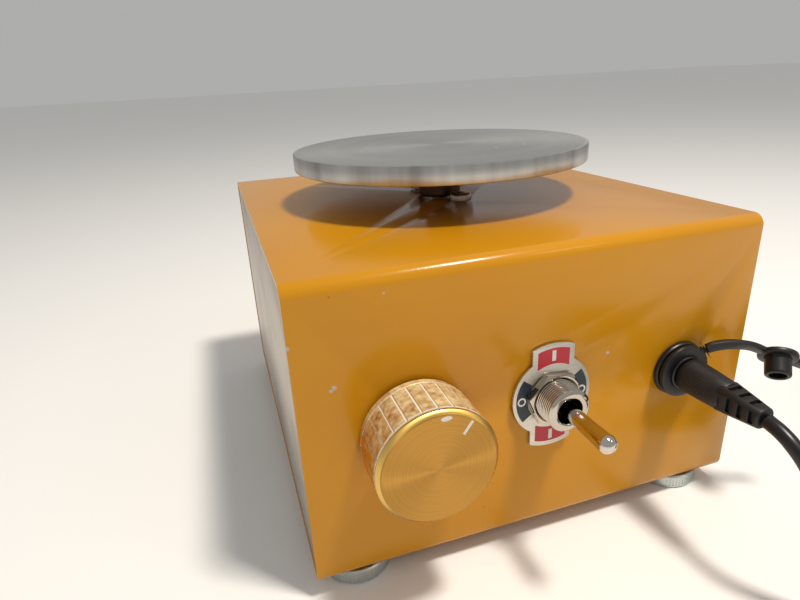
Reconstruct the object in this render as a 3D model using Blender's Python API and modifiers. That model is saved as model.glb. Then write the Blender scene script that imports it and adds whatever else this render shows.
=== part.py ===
"""Small electric tabletop pottery wheel: painted steel box, wheel head, speed knob, reversing switch."""
import math

import bmesh
import bpy
from mathutils import Matrix, Vector

MM = 0.001
GAP = 0.3 * MM              # between solids that touch
RADIAL_GAP = 0.05 * MM      # running clearance of a shaft in its hole

# Housing: a rectangular tube of bent sheet, open to the left and right
BODY_WIDTH = 133.0 * MM
BODY_DEPTH = 149.4 * MM
BODY_HEIGHT = 84.4 * MM
SHEET = 1.5 * MM
BEND_RADIUS = 3.0 * MM
PLATE_INSET = 0.3 * MM

# Feet
FOOT_RADIUS = 10.0 * MM
FOOT_HEIGHT = 5.0 * MM
FOOT_X = 53.8 * MM
FOOT_Y = 64.0 * MM
FOOT_SCREW_RADIUS = 2.0 * MM

# Wheel head and its drive, on the axis through the middle of the housing
HEAD_RADIUS = 50.0 * MM
HEAD_THICKNESS = 5.6 * MM
HEAD_TOP = 101.9 * MM
HUB_RADIUS = 7.4 * MM
HUB_BOTTOM = 84.9 * MM
HUB_SCREW_RADIUS = 2.0 * MM
HUB_SCREW_HEIGHT = 90.6 * MM
HUB_SCREW_TURN = math.radians(140.0)
SHAFT_RADIUS = 2.5 * MM
MOTOR_RADIUS = 21.0 * MM
MOTOR_WALL = 1.2 * MM
MOTOR_TOP = BODY_HEIGHT - SHEET - GAP
MOTOR_BOTTOM = 16.0 * MM
MOTOR_CAP = 9.0 * MM
BOSS_RADIUS = 6.0 * MM
BEARING_RADIUS = 5.0 * MM
BRUSH_TAB_X = 12.0 * MM
COMMUTATOR_RADIUS = 4.5 * MM
MOTOR_SCREW_CIRCLE = 14.5 * MM
MOTOR_SCREW_TURN = math.radians(-82.0)
MOTOR_SCREW_RADIUS = 2.0 * MM

MAGNET_LENGTH = 40.0 * MM
MAGNET_THICKNESS = 3.1 * MM
MAGNET_HALF_ARC = math.radians(62.0)
MAGNET_MIDDLE = 52.0 * MM
CORE_BOTTOM = 36.0 * MM
CORE_TOP = 68.0 * MM
CORE_RADIUS = 15.6 * MM
POLES = 5
FAN_RADIUS = 14.0 * MM
FAN_BLADES = 8

# Front panel: speed knob, reversing switch and power jack, all along -Y
PANEL_Y = -BODY_DEPTH / 2
KNOB_X = -37.5 * MM
KNOB_Z = 41.6 * MM
KNOB_RADIUS = 15.1 * MM
KNOB_LENGTH = 16.4 * MM
KNOB_REAR = 0.8 * MM
KNOB_SCREW_OUT = 8.6 * MM
KNOB_SCREW_RADIUS = 1.5 * MM
POT_SHAFT_RADIUS = 3.0 * MM
SWITCH_X = 1.1 * MM
SWITCH_Z = 43.0 * MM
BUSHING_RADIUS = 6.0 * MM
BUSHING_REACH = 10.0 * MM
LEVER_PIVOT = 3.5 * MM
LEGEND_RADIUS = 11.6 * MM
LEGEND_TAB_HALF_WIDTH = 6.1 * MM
LEGEND_TAB_REACH = 15.5 * MM
LEGEND_THICKNESS = 0.8 * MM
SWITCH_CASE_SIZE = Vector((18.0, 16.0, 33.0)) * MM
LEVER_REACH = 26.7 * MM
JACK_X = 43.0 * MM
JACK_Z = 42.2 * MM
JACK_FLANGE_RADIUS = 8.2 * MM
JACK_THREAD_RADIUS = 5.5 * MM
JACK_BARREL = 5.0 * MM

# Tethered dust cap of the jack
CAP_TAB_REACH = 16.6 * MM   # how far its pull tab stands out past the right side of the housing
CAP_CENTRE = Vector((70.4, -83.6, 44.2)) * MM
CAP_AXIS = Vector((-0.50, -0.57, -0.65)).normalized()
CAP_STRAP = [(48.3, 2.9, 47.1), (50.8, 3.9, 48.8), (54.5, 5.2, 49.4), (58.4, 6.2, 49.0), (62.4, 6.9, 47.9),
             (66.7, 7.5, 45.8)]

# Power lead: 3.8 mm cord from the plug, down to the table, round coil, wall adapter
CORD_RADIUS = 1.9 * MM
PLUG_START = 4.6 * MM
PLUG_END = 29.6 * MM
RELIEF_START = 18.0 * MM
LEAD_ROUTE = [(43.0, 30.5, 42.1), (43.0, 34.1, 41.2), (43.2, 37.8, 39.3), (43.8, 40.9, 36.4),
              (44.7, 43.1, 32.9), (46.2, 45.5, 28.0), (48.4, 48.3, 21.0), (51.2, 51.5, 13.4),
              (54.4, 55.0, 6.2), (58.4, 59.0, 0.6), (63.6, 63.6, -2.4), (70.2, 68.6, -3.1),
              (79.9, 73.1, -3.1)]
COIL_CENTRE = Vector((104.0, -128.0, 0.0)) * MM
COIL_MIDDLE_RADIUS = 23.0 * MM
COIL_TURNS_WIDE = 3
COIL_LAYERS = 3
TAIL_ROUTE = [(127.6, 73.85, 0.6), (132.1, 72.4, -1.2), (138.8, 70.3, -2.8), (145.4, 68.2, -3.1),
              (151.6, 64.8, -3.0), (155.6, 60.0, -2.0), (157.6, 54.9, -0.1), (158.0, 50.4, 0.6)]
ADAPTER_SIZE = Vector((40.0, 60.0, 26.0)) * MM
ADAPTER_X = 158.0 * MM
ADAPTER_FRONT = -114.4 * MM
ADAPTER_CORD_HEIGHT = 0.6 * MM
BLADE_SIZE = Vector((1.5, 6.3, 17.0)) * MM
BLADE_SPACING = 12.7 * MM
BLADE_SET_BACK = 8.0 * MM

FORWARD = (math.radians(90), 0, 0)    # turns local +Z to point out of the front panel

# The frame's origin is under the middle of the wheel's own box, on the table
FRAME = Vector((-CAP_TAB_REACH / 2, LEVER_REACH / 2, FOOT_HEIGHT))

parts = None
cutters = None


def start_scene():
    """Empties the scene and makes the two collections."""
    global parts, cutters
    for old in list(bpy.data.objects):
        bpy.data.objects.remove(old, do_unlink=True)
    parts = bpy.data.collections.new("pottery_wheel")
    cutters = bpy.data.collections.new("cutters")
    for collection in (parts, cutters):
        bpy.context.scene.collection.children.link(collection)


def make_material(name, colour, roughness, metallic=0.0):
    material = bpy.data.materials.new(name)
    material.use_nodes = True
    shader = material.node_tree.nodes["Principled BSDF"]
    shader.inputs["Base Color"].default_value = (*colour, 1.0)
    shader.inputs["Roughness"].default_value = roughness
    shader.inputs["Metallic"].default_value = metallic
    return material


def make_empty(name, location, parent=None):
    empty = bpy.data.objects.new(name, None)
    empty.location = location
    empty.parent = parent
    parts.objects.link(empty)
    return empty


def add_part(name, data, material, parent, location=(0, 0, 0), rotation=(0, 0, 0)):
    """Puts a mesh or curve into the parts collection under its parent."""
    obj = bpy.data.objects.new(name, data)
    if material is not None:
        data.materials.append(material)
    obj.location = location
    obj.rotation_euler = rotation
    obj.parent = parent
    parts.objects.link(obj)
    return obj


def make_cutter(obj):
    parts.objects.unlink(obj)
    cutters.objects.link(obj)
    obj.hide_render = True
    obj.display_type = "WIRE"
    return obj


def boolean(obj, tool, operation="DIFFERENCE"):
    make_cutter(tool)
    step = obj.modifiers.new(tool.name, "BOOLEAN")
    step.operation = operation
    step.solver = "EXACT"
    step.object = tool


def bevel(obj, width, segments=2, angle=40.0):
    step = obj.modifiers.new("edges", "BEVEL")
    step.width = width
    step.segments = segments
    step.limit_method = "ANGLE"
    step.angle_limit = math.radians(angle)


def smooth(mesh, angle=35.0):
    mesh.shade_smooth()
    mesh.set_sharp_from_angle(angle=math.radians(angle))


def box(name, centre, size, material, parent, rotation=(0, 0, 0)):
    mesh = bpy.data.meshes.new(name)
    shape = bmesh.new()
    bmesh.ops.create_cube(shape, size=1.0)
    bmesh.ops.scale(shape, vec=size, verts=shape.verts)
    shape.to_mesh(mesh)
    shape.free()
    return add_part(name, mesh, material, parent, centre, rotation)


def rod(name, start, radius, length, material, parent, rotation=(0, 0, 0), sides=24):
    """A cylinder from its start face along its local +Z."""
    mesh = bpy.data.meshes.new(name)
    shape = bmesh.new()
    bmesh.ops.create_cone(shape, cap_ends=True, segments=sides, radius1=radius, radius2=radius,
                          depth=length, matrix=Matrix.Translation((0, 0, length / 2)))
    shape.to_mesh(mesh)
    shape.free()
    smooth(mesh)
    return add_part(name, mesh, material, parent, start, rotation)


def turned(name, profile, material, parent, location=(0, 0, 0), rotation=(0, 0, 0), steps=48):
    """A profile of (radius, height) points, down the outer side, turned about the local Z axis."""
    mesh = bpy.data.meshes.new(name)
    ring = profile[0][0] > 0
    points = [(radius, 0.0, height) for radius, height in profile]
    edges = [(i, i + 1) for i in range(len(points) - 1)]
    if ring:
        edges.append((len(points) - 1, 0))
    mesh.from_pydata(points, edges, [])
    obj = add_part(name, mesh, material, parent, location, rotation)
    screw = obj.modifiers.new("turn", "SCREW")
    screw.axis = "Z"
    screw.steps = steps
    screw.render_steps = steps
    screw.use_merge_vertices = True
    screw.merge_threshold = 0.00001
    screw.use_smooth_shade = True
    return obj


def smooth_route(points, spacing):
    """Points at an even spacing along a smooth curve through the given points."""
    ends = [points[0] * 2 - points[1], *points, points[-1] * 2 - points[-2]]
    dense = []
    for i in range(1, len(ends) - 2):
        before, here, after, beyond = ends[i - 1:i + 3]
        for step in range(24):
            t = step / 24
            square = 2 * before - 5 * here + 4 * after - beyond
            cube = 3 * here - before - 3 * after + beyond
            dense.append(0.5 * (2 * here + (after - before) * t + square * t ** 2 + cube * t ** 3))
    dense.append(points[-1].copy())
    lengths = [0.0]
    for first, second in zip(dense, dense[1:]):
        lengths.append(lengths[-1] + (second - first).length)
    count = max(2, round(lengths[-1] / spacing))
    route = []
    place = 0
    for step in range(count + 1):
        wanted = lengths[-1] * step / count
        while place < len(lengths) - 2 and lengths[place + 1] < wanted:
            place += 1
        share = (wanted - lengths[place]) / (lengths[place + 1] - lengths[place])
        route.append(dense[place].lerp(dense[place + 1], min(1.0, share)))
    return route


def tube(name, points, radius, material, parent, sides=2):
    """A round wire or cord along the given points."""
    curve = bpy.data.curves.new(name, "CURVE")
    curve.dimensions = "3D"
    curve.bevel_depth = radius
    curve.bevel_resolution = sides
    curve.use_fill_caps = True
    spline = curve.splines.new("POLY")
    spline.points.add(len(points) - 1)
    for target, point in zip(spline.points, points):
        target.co = (*point, 1.0)
    return add_part(name, curve, material, parent)


def rounded_rectangle(width, height, radius, steps=4):
    """Corner points of a rectangle whose corners are arcs, anticlockwise."""
    outline = []
    corners = [(1, 1, 0), (-1, 1, 90), (-1, -1, 180), (1, -1, 270)]
    for side_x, side_y, start in corners:
        centre_x = side_x * (width / 2 - radius)
        centre_y = side_y * (height / 2 - radius)
        for step in range(steps + 1):
            angle = math.radians(start + 90 * step / steps)
            outline.append((centre_x + radius * math.cos(angle), centre_y + radius * math.sin(angle)))
    return outline


def panel_point(x, out, z):
    """A point that stands a distance out from the front panel."""
    return Vector((x, PANEL_Y - out, z))


def make_housing(paint, bare, root):
    outline = rounded_rectangle(BODY_DEPTH, BODY_HEIGHT, BEND_RADIUS)
    mesh = bpy.data.meshes.new("housing_shell")
    shape = bmesh.new()
    loop = [shape.verts.new((-BODY_WIDTH / 2, y, z + BODY_HEIGHT / 2)) for y, z in outline]
    edges = [shape.edges.new((a, b)) for a, b in zip(loop, loop[1:] + loop[:1])]
    wall = bmesh.ops.extrude_edge_only(shape, edges=edges)["geom"]
    bmesh.ops.translate(shape, vec=(BODY_WIDTH, 0, 0),
                        verts=[v for v in wall if isinstance(v, bmesh.types.BMVert)])
    bmesh.ops.recalc_face_normals(shape, faces=shape.faces)
    if any(f.normal.z < -0.9 and f.calc_center_median().z > BODY_HEIGHT / 2 for f in shape.faces):
        bmesh.ops.reverse_faces(shape, faces=shape.faces)
    shape.to_mesh(mesh)
    shape.free()
    housing = add_part("housing_shell", mesh, paint, root)
    shell = housing.modifiers.new("sheet", "SOLIDIFY")
    shell.thickness = SHEET
    shell.offset = -1.0
    shell.use_even_offset = True
    cut_housing_holes(housing, root)
    inner_depth = BODY_DEPTH - 2 * SHEET - 2 * GAP
    inner_height = BODY_HEIGHT - 2 * SHEET - 2 * GAP
    for side, name in ((-1, "end_plate_left"), (1, "end_plate_right")):
        centre = (side * (BODY_WIDTH / 2 - PLATE_INSET - SHEET / 2), 0, BODY_HEIGHT / 2)
        plate = box(name, centre, (SHEET, inner_depth, inner_height), bare, root)
        bevel_corners(plate, BEND_RADIUS - SHEET)


def bevel_corners(plate, width):
    """Rounds a plate's four short corner edges, which run along its thickness."""
    shape = bmesh.new()
    shape.from_mesh(plate.data)
    corners = [e for e in shape.edges if abs((e.verts[0].co - e.verts[1].co).normalized().x) > 0.9]
    bmesh.ops.bevel(shape, geom=corners, offset=width, segments=3, affect="EDGES", profile=0.5)
    shape.to_mesh(plate.data)
    shape.free()


def cut_housing_holes(housing, root):
    """Holes for the motor boss and screws, the three panel fittings and the four foot screws."""
    depth = 4 * SHEET
    top = BODY_HEIGHT - 2 * SHEET
    holes = [("boss", (0, 0, top), BOSS_RADIUS + GAP, (0, 0, 0))]
    for i in range(2):
        holes.append((f"motor_screw_{i}", motor_screw_place(i, top), MOTOR_SCREW_RADIUS + GAP, (0, 0, 0)))
    for x in (-FOOT_X, FOOT_X):
        for y in (-FOOT_Y, FOOT_Y):
            holes.append((f"foot_{x:.3f}_{y:.3f}", (x, y, -2 * SHEET), FOOT_SCREW_RADIUS + GAP, (0, 0, 0)))
    holes.append(("pot", panel_point(KNOB_X, -2 * SHEET, KNOB_Z), 3.5 * MM + GAP, FORWARD))
    holes.append(("switch", panel_point(SWITCH_X, -2 * SHEET, SWITCH_Z), BUSHING_RADIUS + GAP, FORWARD))
    holes.append(("jack", panel_point(JACK_X, -2 * SHEET, JACK_Z), JACK_THREAD_RADIUS + GAP, FORWARD))
    for name, place, radius, rotation in holes:
        tool = rod("hole_" + name, place, radius, depth, None, root, rotation, sides=20)
        boolean(housing, tool)


def motor_screw_place(index, height):
    angle = MOTOR_SCREW_TURN + index * math.pi
    return (MOTOR_SCREW_CIRCLE * math.cos(angle), MOTOR_SCREW_CIRCLE * math.sin(angle), height)


def make_feet(metal, steel, root):
    """Four turned discs, each held by a screw from below whose head sits in a recess."""
    recess_radius = 4.6 * MM
    recess_depth = 3.2 * MM
    hole_radius = FOOT_SCREW_RADIUS + RADIAL_GAP
    top = -GAP
    profile = [(hole_radius, top), (FOOT_RADIUS - 0.4 * MM, top), (FOOT_RADIUS, top - 0.4 * MM),
               (FOOT_RADIUS, -FOOT_HEIGHT + 0.4 * MM), (FOOT_RADIUS - 0.4 * MM, -FOOT_HEIGHT),
               (recess_radius, -FOOT_HEIGHT), (recess_radius, -FOOT_HEIGHT + recess_depth),
               (hole_radius, -FOOT_HEIGHT + recess_depth)]
    head_top = -FOOT_HEIGHT + recess_depth - GAP
    screw = [(0, 5.0 * MM), (FOOT_SCREW_RADIUS, 5.0 * MM), (FOOT_SCREW_RADIUS, head_top),
             (3.6 * MM, head_top), (3.6 * MM, head_top - 1.5 * MM), (3.0 * MM, head_top - 2.1 * MM),
             (0, head_top - 2.1 * MM)]
    for front, y in (("front", -FOOT_Y), ("back", FOOT_Y)):
        for side, x in (("left", -FOOT_X), ("right", FOOT_X)):
            turned(f"foot_{front}_{side}", profile, metal, root, (x, y, 0), steps=28)
            turned(f"foot_screw_{front}_{side}", screw, steel, root, (x, y, 0), steps=12)


def make_wheel_head(aluminium, dark, steel, spindle):
    """The turned disc, the collar under it that grips the shaft, and the collar's set screw."""
    bottom = HEAD_TOP - HEAD_THICKNESS
    edge = 0.6 * MM
    seat = 3.0 * MM
    head = [(0, HEAD_TOP), (HEAD_RADIUS - edge, HEAD_TOP), (HEAD_RADIUS, HEAD_TOP - edge),
            (HEAD_RADIUS, bottom + edge), (HEAD_RADIUS - edge, bottom), (HUB_RADIUS - 1.2 * MM, bottom),
            (HUB_RADIUS - 1.2 * MM, bottom + seat), (0, bottom + seat)]
    turned("wheel_head", head, aluminium, spindle, steps=72)
    bore = SHAFT_RADIUS + RADIAL_GAP
    neck = HUB_RADIUS - 1.2 * MM - RADIAL_GAP
    hub = [(bore, bottom + seat - GAP), (neck, bottom + seat - GAP), (neck, bottom - GAP),
           (HUB_RADIUS, bottom - GAP), (HUB_RADIUS, HUB_BOTTOM), (bore, HUB_BOTTOM)]
    collar = turned("wheel_hub", hub, dark, spindle, steps=28)
    sideways = (0, math.radians(90), HUB_SCREW_TURN)
    outward = Vector((math.cos(HUB_SCREW_TURN), math.sin(HUB_SCREW_TURN), 0))
    start = outward * (SHAFT_RADIUS + GAP)
    start.z = HUB_SCREW_HEIGHT
    hole = rod("hub_screw_hole", start, HUB_SCREW_RADIUS + RADIAL_GAP, HUB_RADIUS, None, spindle, sideways)
    boolean(collar, hole)
    screw = rod("hub_set_screw", start, HUB_SCREW_RADIUS, HUB_RADIUS - SHAFT_RADIUS - 2 * GAP, steel, spindle,
                sideways, 16)
    socket_start = start + outward * 2.8 * MM
    boolean(screw, rod("hub_screw_socket", socket_start, 1.1 * MM, 3.0 * MM, None, spindle, sideways, 6))


def ring_outline(inner, outer, start, end, steps=16):
    """A piece of a flat ring between two angles, as one outline."""
    angles = [start + (end - start) * step / steps for step in range(steps + 1)]
    far = [(outer * math.cos(a), outer * math.sin(a)) for a in angles]
    near = [(inner * math.cos(a), inner * math.sin(a)) for a in reversed(angles)]
    return far + near


def circle_outline(radius, steps=24):
    return [(radius * math.cos(2 * math.pi * i / steps), radius * math.sin(2 * math.pi * i / steps))
            for i in range(steps)]


def flat(name, outlines, thickness, material, parent, location=(0, 0, 0), rotation=(0, 0, 0)):
    """A flat plate from closed outlines, the later ones holes in the first, centred on its location."""
    curve = bpy.data.curves.new(name, "CURVE")
    curve.dimensions = "2D"
    curve.fill_mode = "BOTH"
    curve.extrude = thickness / 2
    for outline in outlines:
        spline = curve.splines.new("POLY")
        spline.points.add(len(outline) - 1)
        for target, (x, y) in zip(spline.points, outline):
            target.co = (x, y, 0.0, 1.0)
        spline.use_cyclic_u = True
    return add_part(name, curve, material, parent, location, rotation)


def make_motor_case(steel, black, ferrite, root):
    """The still parts of the motor: can, magnets, bearings and rear cap."""
    inner = MOTOR_RADIUS - MOTOR_WALL
    can_bottom = MOTOR_BOTTOM + MOTOR_CAP
    seat = BEARING_RADIUS + RADIAL_GAP
    shaft_hole = SHAFT_RADIUS + 0.4 * MM
    front_wall = 2.0 * MM
    boss_top = MOTOR_TOP + SHEET
    can = [(shaft_hole, boss_top), (BOSS_RADIUS, boss_top), (BOSS_RADIUS, MOTOR_TOP),
           (MOTOR_RADIUS - 1.2 * MM, MOTOR_TOP), (MOTOR_RADIUS, MOTOR_TOP - 1.2 * MM),
           (MOTOR_RADIUS, can_bottom), (inner, can_bottom), (inner, MOTOR_TOP - front_wall),
           (seat, MOTOR_TOP - front_wall), (seat, MOTOR_TOP - GAP), (shaft_hole, MOTOR_TOP - GAP)]
    shell = turned("motor_can", can, steel, root, steps=30)
    for i in range(2):
        place = motor_screw_place(i, MOTOR_TOP - 2 * front_wall)
        boolean(shell, rod(f"motor_thread_{i}", place, MOTOR_SCREW_RADIUS + RADIAL_GAP, 3 * front_wall,
                           None, root))
    for i in range(4):
        angle = math.radians(45 + 90 * i)
        place = (inner * math.cos(angle), inner * math.sin(angle), MOTOR_TOP - 11 * MM)
        boolean(shell, box(f"vent_{i}", place, (8 * MM, 7 * MM, 9 * MM), None, root, (0, 0, angle)))
    make_bearing("front_bearing", MOTOR_TOP - 4.4 * MM, steel, root)
    make_bearing("rear_bearing", MOTOR_BOTTOM + 1.8 * MM, steel, root)
    magnet_outer = inner - GAP
    for name, turn in (("magnet_left", math.pi), ("magnet_right", 0.0)):
        outline = ring_outline(magnet_outer - MAGNET_THICKNESS, magnet_outer, turn - MAGNET_HALF_ARC,
                               turn + MAGNET_HALF_ARC)
        flat(name, [outline], MAGNET_LENGTH, ferrite, root, (0, 0, MAGNET_MIDDLE))
    lip = inner - GAP
    floor = MOTOR_BOTTOM + 2 * MM
    cap = [(0, floor - 0.5 * MM), (seat, floor - 0.5 * MM), (seat, floor + 4 * MM),
           (seat + 2 * MM, floor + 4 * MM), (seat + 2 * MM, floor), (lip - 2 * MM, floor),
           (lip - 2 * MM, can_bottom + 4 * MM), (lip, can_bottom + 4 * MM), (lip, can_bottom - GAP),
           (MOTOR_RADIUS, can_bottom - GAP), (MOTOR_RADIUS, MOTOR_BOTTOM + 1 * MM),
           (MOTOR_RADIUS - 1 * MM, MOTOR_BOTTOM), (0, MOTOR_BOTTOM)]
    rear = turned("motor_end_cap", cap, black, root, steps=30)
    for side in (-1, 1):
        slot = box(f"tab_slot_{side}", (side * BRUSH_TAB_X, 0, MOTOR_BOTTOM), (1.6 * MM, 5.6 * MM, 6 * MM),
                   None, root)
        boolean(rear, slot)


def make_bearing(name, bottom, steel, root):
    """A ball bearing as one grooved ring."""
    top = bottom + 4.0 * MM
    groove = 0.3 * MM
    profile = [(SHAFT_RADIUS + RADIAL_GAP, top), (3.4 * MM, top), (3.5 * MM, top - groove),
               (4.2 * MM, top - groove), (4.3 * MM, top), (BEARING_RADIUS, top), (BEARING_RADIUS, bottom),
               (SHAFT_RADIUS + RADIAL_GAP, bottom)]
    turned(name, profile, steel, root, steps=20)


def make_brushes(copper, root):
    """A carbon brush on its terminal, which passes down through the rear cap, on either side."""
    low = MOTOR_BOTTOM + 6.8 * MM
    for side, name in ((-1, "brush_terminal_left"), (1, "brush_terminal_right")):
        brush = box(name, (side * 7.6 * MM, 0, low + 3 * MM), (5.4 * MM, 4 * MM, 6 * MM), copper, root)
        arm = box(name + "_arm", (side * 11 * MM, 0, low + 3 * MM), (3 * MM, 3 * MM, 1.4 * MM), None, root)
        tab = box(name + "_tab", (side * BRUSH_TAB_X, 0, 17.2 * MM), (0.8 * MM, 4.8 * MM, 18 * MM), None,
                  root)
        boolean(brush, arm, "UNION")
        boolean(brush, tab, "UNION")


def make_rotor(steel, copper, brass, black, spindle):
    """Everything inside the motor that turns with the shaft."""
    bore = SHAFT_RADIUS + RADIAL_GAP
    length = HEAD_TOP - HEAD_THICKNESS + 2.1 * MM - 17.9 * MM
    rod("motor_shaft", (0, 0, 17.9 * MM), SHAFT_RADIUS, length, steel, spindle)
    flat("armature_core", [pole_outline(), circle_outline(bore)], CORE_TOP - CORE_BOTTOM, steel, spindle,
         (0, 0, (CORE_TOP + CORE_BOTTOM) / 2))
    winding_outer = 12.6 * MM
    winding_inner = 6.2 * MM
    end_height = 5.4 * MM
    profile = [(winding_inner, CORE_TOP + GAP + end_height),
               (winding_outer - 2 * MM, CORE_TOP + GAP + end_height),
               (winding_outer, CORE_TOP + GAP + 3 * MM), (winding_outer, CORE_TOP + GAP),
               (winding_inner, CORE_TOP + GAP)]
    winding = turned("armature_winding", profile, copper, spindle, steps=20)
    lower = [(r, CORE_TOP + CORE_BOTTOM - z) for r, z in reversed(profile)]
    boolean(winding, turned("winding_lower", lower, None, spindle, steps=20), "UNION")
    slot_circle = 9.2 * MM
    overlap = 3.0 * MM
    side_length = CORE_TOP - CORE_BOTTOM + 2 * overlap
    for i in range(POLES):
        angle = 2 * math.pi * (i + 0.5) / POLES
        place = (slot_circle * math.cos(angle), slot_circle * math.sin(angle), CORE_BOTTOM - overlap)
        boolean(winding, rod(f"winding_side_{i}", place, 2.0 * MM, side_length, None, spindle, sides=8),
                "UNION")
    low = MOTOR_BOTTOM + 6.6 * MM
    profile = [(bore, low + 7 * MM), (COMMUTATOR_RADIUS, low + 7 * MM), (COMMUTATOR_RADIUS, low),
               (bore, low)]
    turned("commutator", profile, brass, spindle, steps=30)
    make_fan(black, bore, CORE_TOP + 6.6 * MM, spindle)


def pole_outline():
    """The outline of a stack of T-shaped poles around a round hub."""
    hub = 6.0 * MM
    neck = 2.1 * MM
    shoe_inner = 13.4 * MM
    half_shoe = math.radians(29)
    outline = []
    for i in range(POLES):
        middle = 2 * math.pi * i / POLES
        root_turn = math.asin(neck / hub)
        top_turn = math.asin(neck / shoe_inner)
        outline.append((hub, middle - root_turn))
        outline.append((shoe_inner, middle - top_turn))
        outline.append((shoe_inner, middle - half_shoe))
        outline.extend((CORE_RADIUS, middle + half_shoe * step / 4) for step in range(-4, 5))
        outline.append((shoe_inner, middle + half_shoe))
        outline.append((shoe_inner, middle + top_turn))
        outline.append((hub, middle + root_turn))
    return [(radius * math.cos(angle), radius * math.sin(angle)) for radius, angle in outline]


def make_fan(black, bore, bottom, spindle):
    """The cooling fan above the windings: a thin disc with upright blades."""
    disc = 1.0 * MM
    boss_radius = 5.0 * MM
    height = 3.0 * MM
    profile = [(bore, bottom + height), (boss_radius, bottom + height), (boss_radius, bottom + disc),
               (FAN_RADIUS, bottom + disc), (FAN_RADIUS, bottom), (bore, bottom)]
    fan = turned("motor_fan", profile, black, spindle, steps=20)
    blade_middle = 9.0 * MM
    for i in range(FAN_BLADES):
        angle = 2 * math.pi * i / FAN_BLADES
        place = (blade_middle * math.cos(angle), blade_middle * math.sin(angle), bottom + 1.6 * MM)
        boolean(fan, box(f"fan_blade_{i}", place, (8.6 * MM, 0.8 * MM, 2.4 * MM), None, spindle,
                         (0, 0, angle)), "UNION")


def make_motor_screws(steel, root):
    """Two cap screws that hold the motor up against the sheet."""
    head_bottom = BODY_HEIGHT + GAP
    profile = [(0, head_bottom + 2.5 * MM), (2.6 * MM, head_bottom + 2.5 * MM),
               (3.4 * MM, head_bottom + 2.0 * MM), (3.7 * MM, head_bottom + 1.2 * MM),
               (3.7 * MM, head_bottom), (MOTOR_SCREW_RADIUS, head_bottom),
               (MOTOR_SCREW_RADIUS, MOTOR_TOP - 3 * MM), (0, MOTOR_TOP - 3 * MM)]
    for i, name in enumerate(("motor_screw_front", "motor_screw_back")):
        screw = turned(name, profile, steel, root, motor_screw_place(i, 0), steps=24)
        place = motor_screw_place(i, head_bottom + 0.9 * MM)
        boolean(screw, rod(f"{name}_socket", place, 1.45 * MM, 3 * MM, None, root, sides=6))


def make_speed_control(gold, steel, black, root, knob_axis):
    """The turned knob on its potentiometer, whose nut clamps it to the panel."""
    bore = POT_SHAFT_RADIUS + RADIAL_GAP
    rear = KNOB_REAR
    face = rear + KNOB_LENGTH
    chamfer = 1.2 * MM
    recess = 7.6 * MM
    recess_top = 5.0 * MM
    hole_top = 14.2 * MM
    knob = [(0, face), (KNOB_RADIUS - chamfer, face), (KNOB_RADIUS, face - chamfer),
            (KNOB_RADIUS, rear + 2.6 * MM), (KNOB_RADIUS - 0.4 * MM, rear + 2.2 * MM),
            (KNOB_RADIUS - 0.4 * MM, rear + 0.3 * MM), (KNOB_RADIUS - 0.7 * MM, rear), (recess, rear),
            (recess, recess_top), (bore, recess_top), (bore, hole_top), (0, hole_top)]
    body = turned("speed_knob", knob, gold, knob_axis, (0, 0, 0), steps=48)
    radial = (0, math.radians(90), 0)
    screw_start = POT_SHAFT_RADIUS + GAP
    boolean(body, rod("knob_screw_hole", (KNOB_REAR, 0, KNOB_SCREW_OUT), KNOB_SCREW_RADIUS + 2 * RADIAL_GAP,
                      KNOB_RADIUS, None, knob_axis, radial, 20))
    screw = rod("knob_set_screw", (screw_start, 0, KNOB_SCREW_OUT), KNOB_SCREW_RADIUS, 6 * MM, steel,
                knob_axis, radial, 16)
    boolean(screw, rod("knob_screw_socket", (screw_start + 4 * MM, 0, KNOB_SCREW_OUT), 0.8 * MM, 4 * MM, None,
                       knob_axis, radial, 6))
    pot_back = -11.2 * MM
    rod("pot_shaft", (0, 0, pot_back + 1.8 * MM), POT_SHAFT_RADIUS, hole_top - GAP - pot_back - 1.8 * MM,
        steel, knob_axis)
    inside = -SHEET - GAP
    pot = [(0, pot_back + 1.5 * MM), (bore, pot_back + 1.5 * MM), (bore, 3.4 * MM), (3.3 * MM, 3.4 * MM),
           (3.5 * MM, 3.2 * MM), (3.5 * MM, inside), (8 * MM, inside), (8 * MM, pot_back), (0, pot_back)]
    place = panel_point(KNOB_X, 0, KNOB_Z)
    turned("pot_body", pot, black, root, place, FORWARD, steps=24)
    nut = hexagon("pot_nut", 3.5 * MM + RADIAL_GAP, 10.0 * MM, 2.0 * MM, steel, root, place)
    nut.location.y = PANEL_Y - GAP - 1.0 * MM


def hexagon(name, bore, across_flats, thickness, material, root, centre, turn=0.0):
    """A hexagon nut whose axis runs out of the front panel."""
    corner = across_flats / 2 / math.cos(math.pi / 6)
    outline = [(corner * math.cos(math.pi * i / 3 + turn), corner * math.sin(math.pi * i / 3 + turn))
               for i in range(6)]
    return flat(name, [outline, circle_outline(bore, 28)], thickness, material, root, centre, FORWARD)


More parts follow.
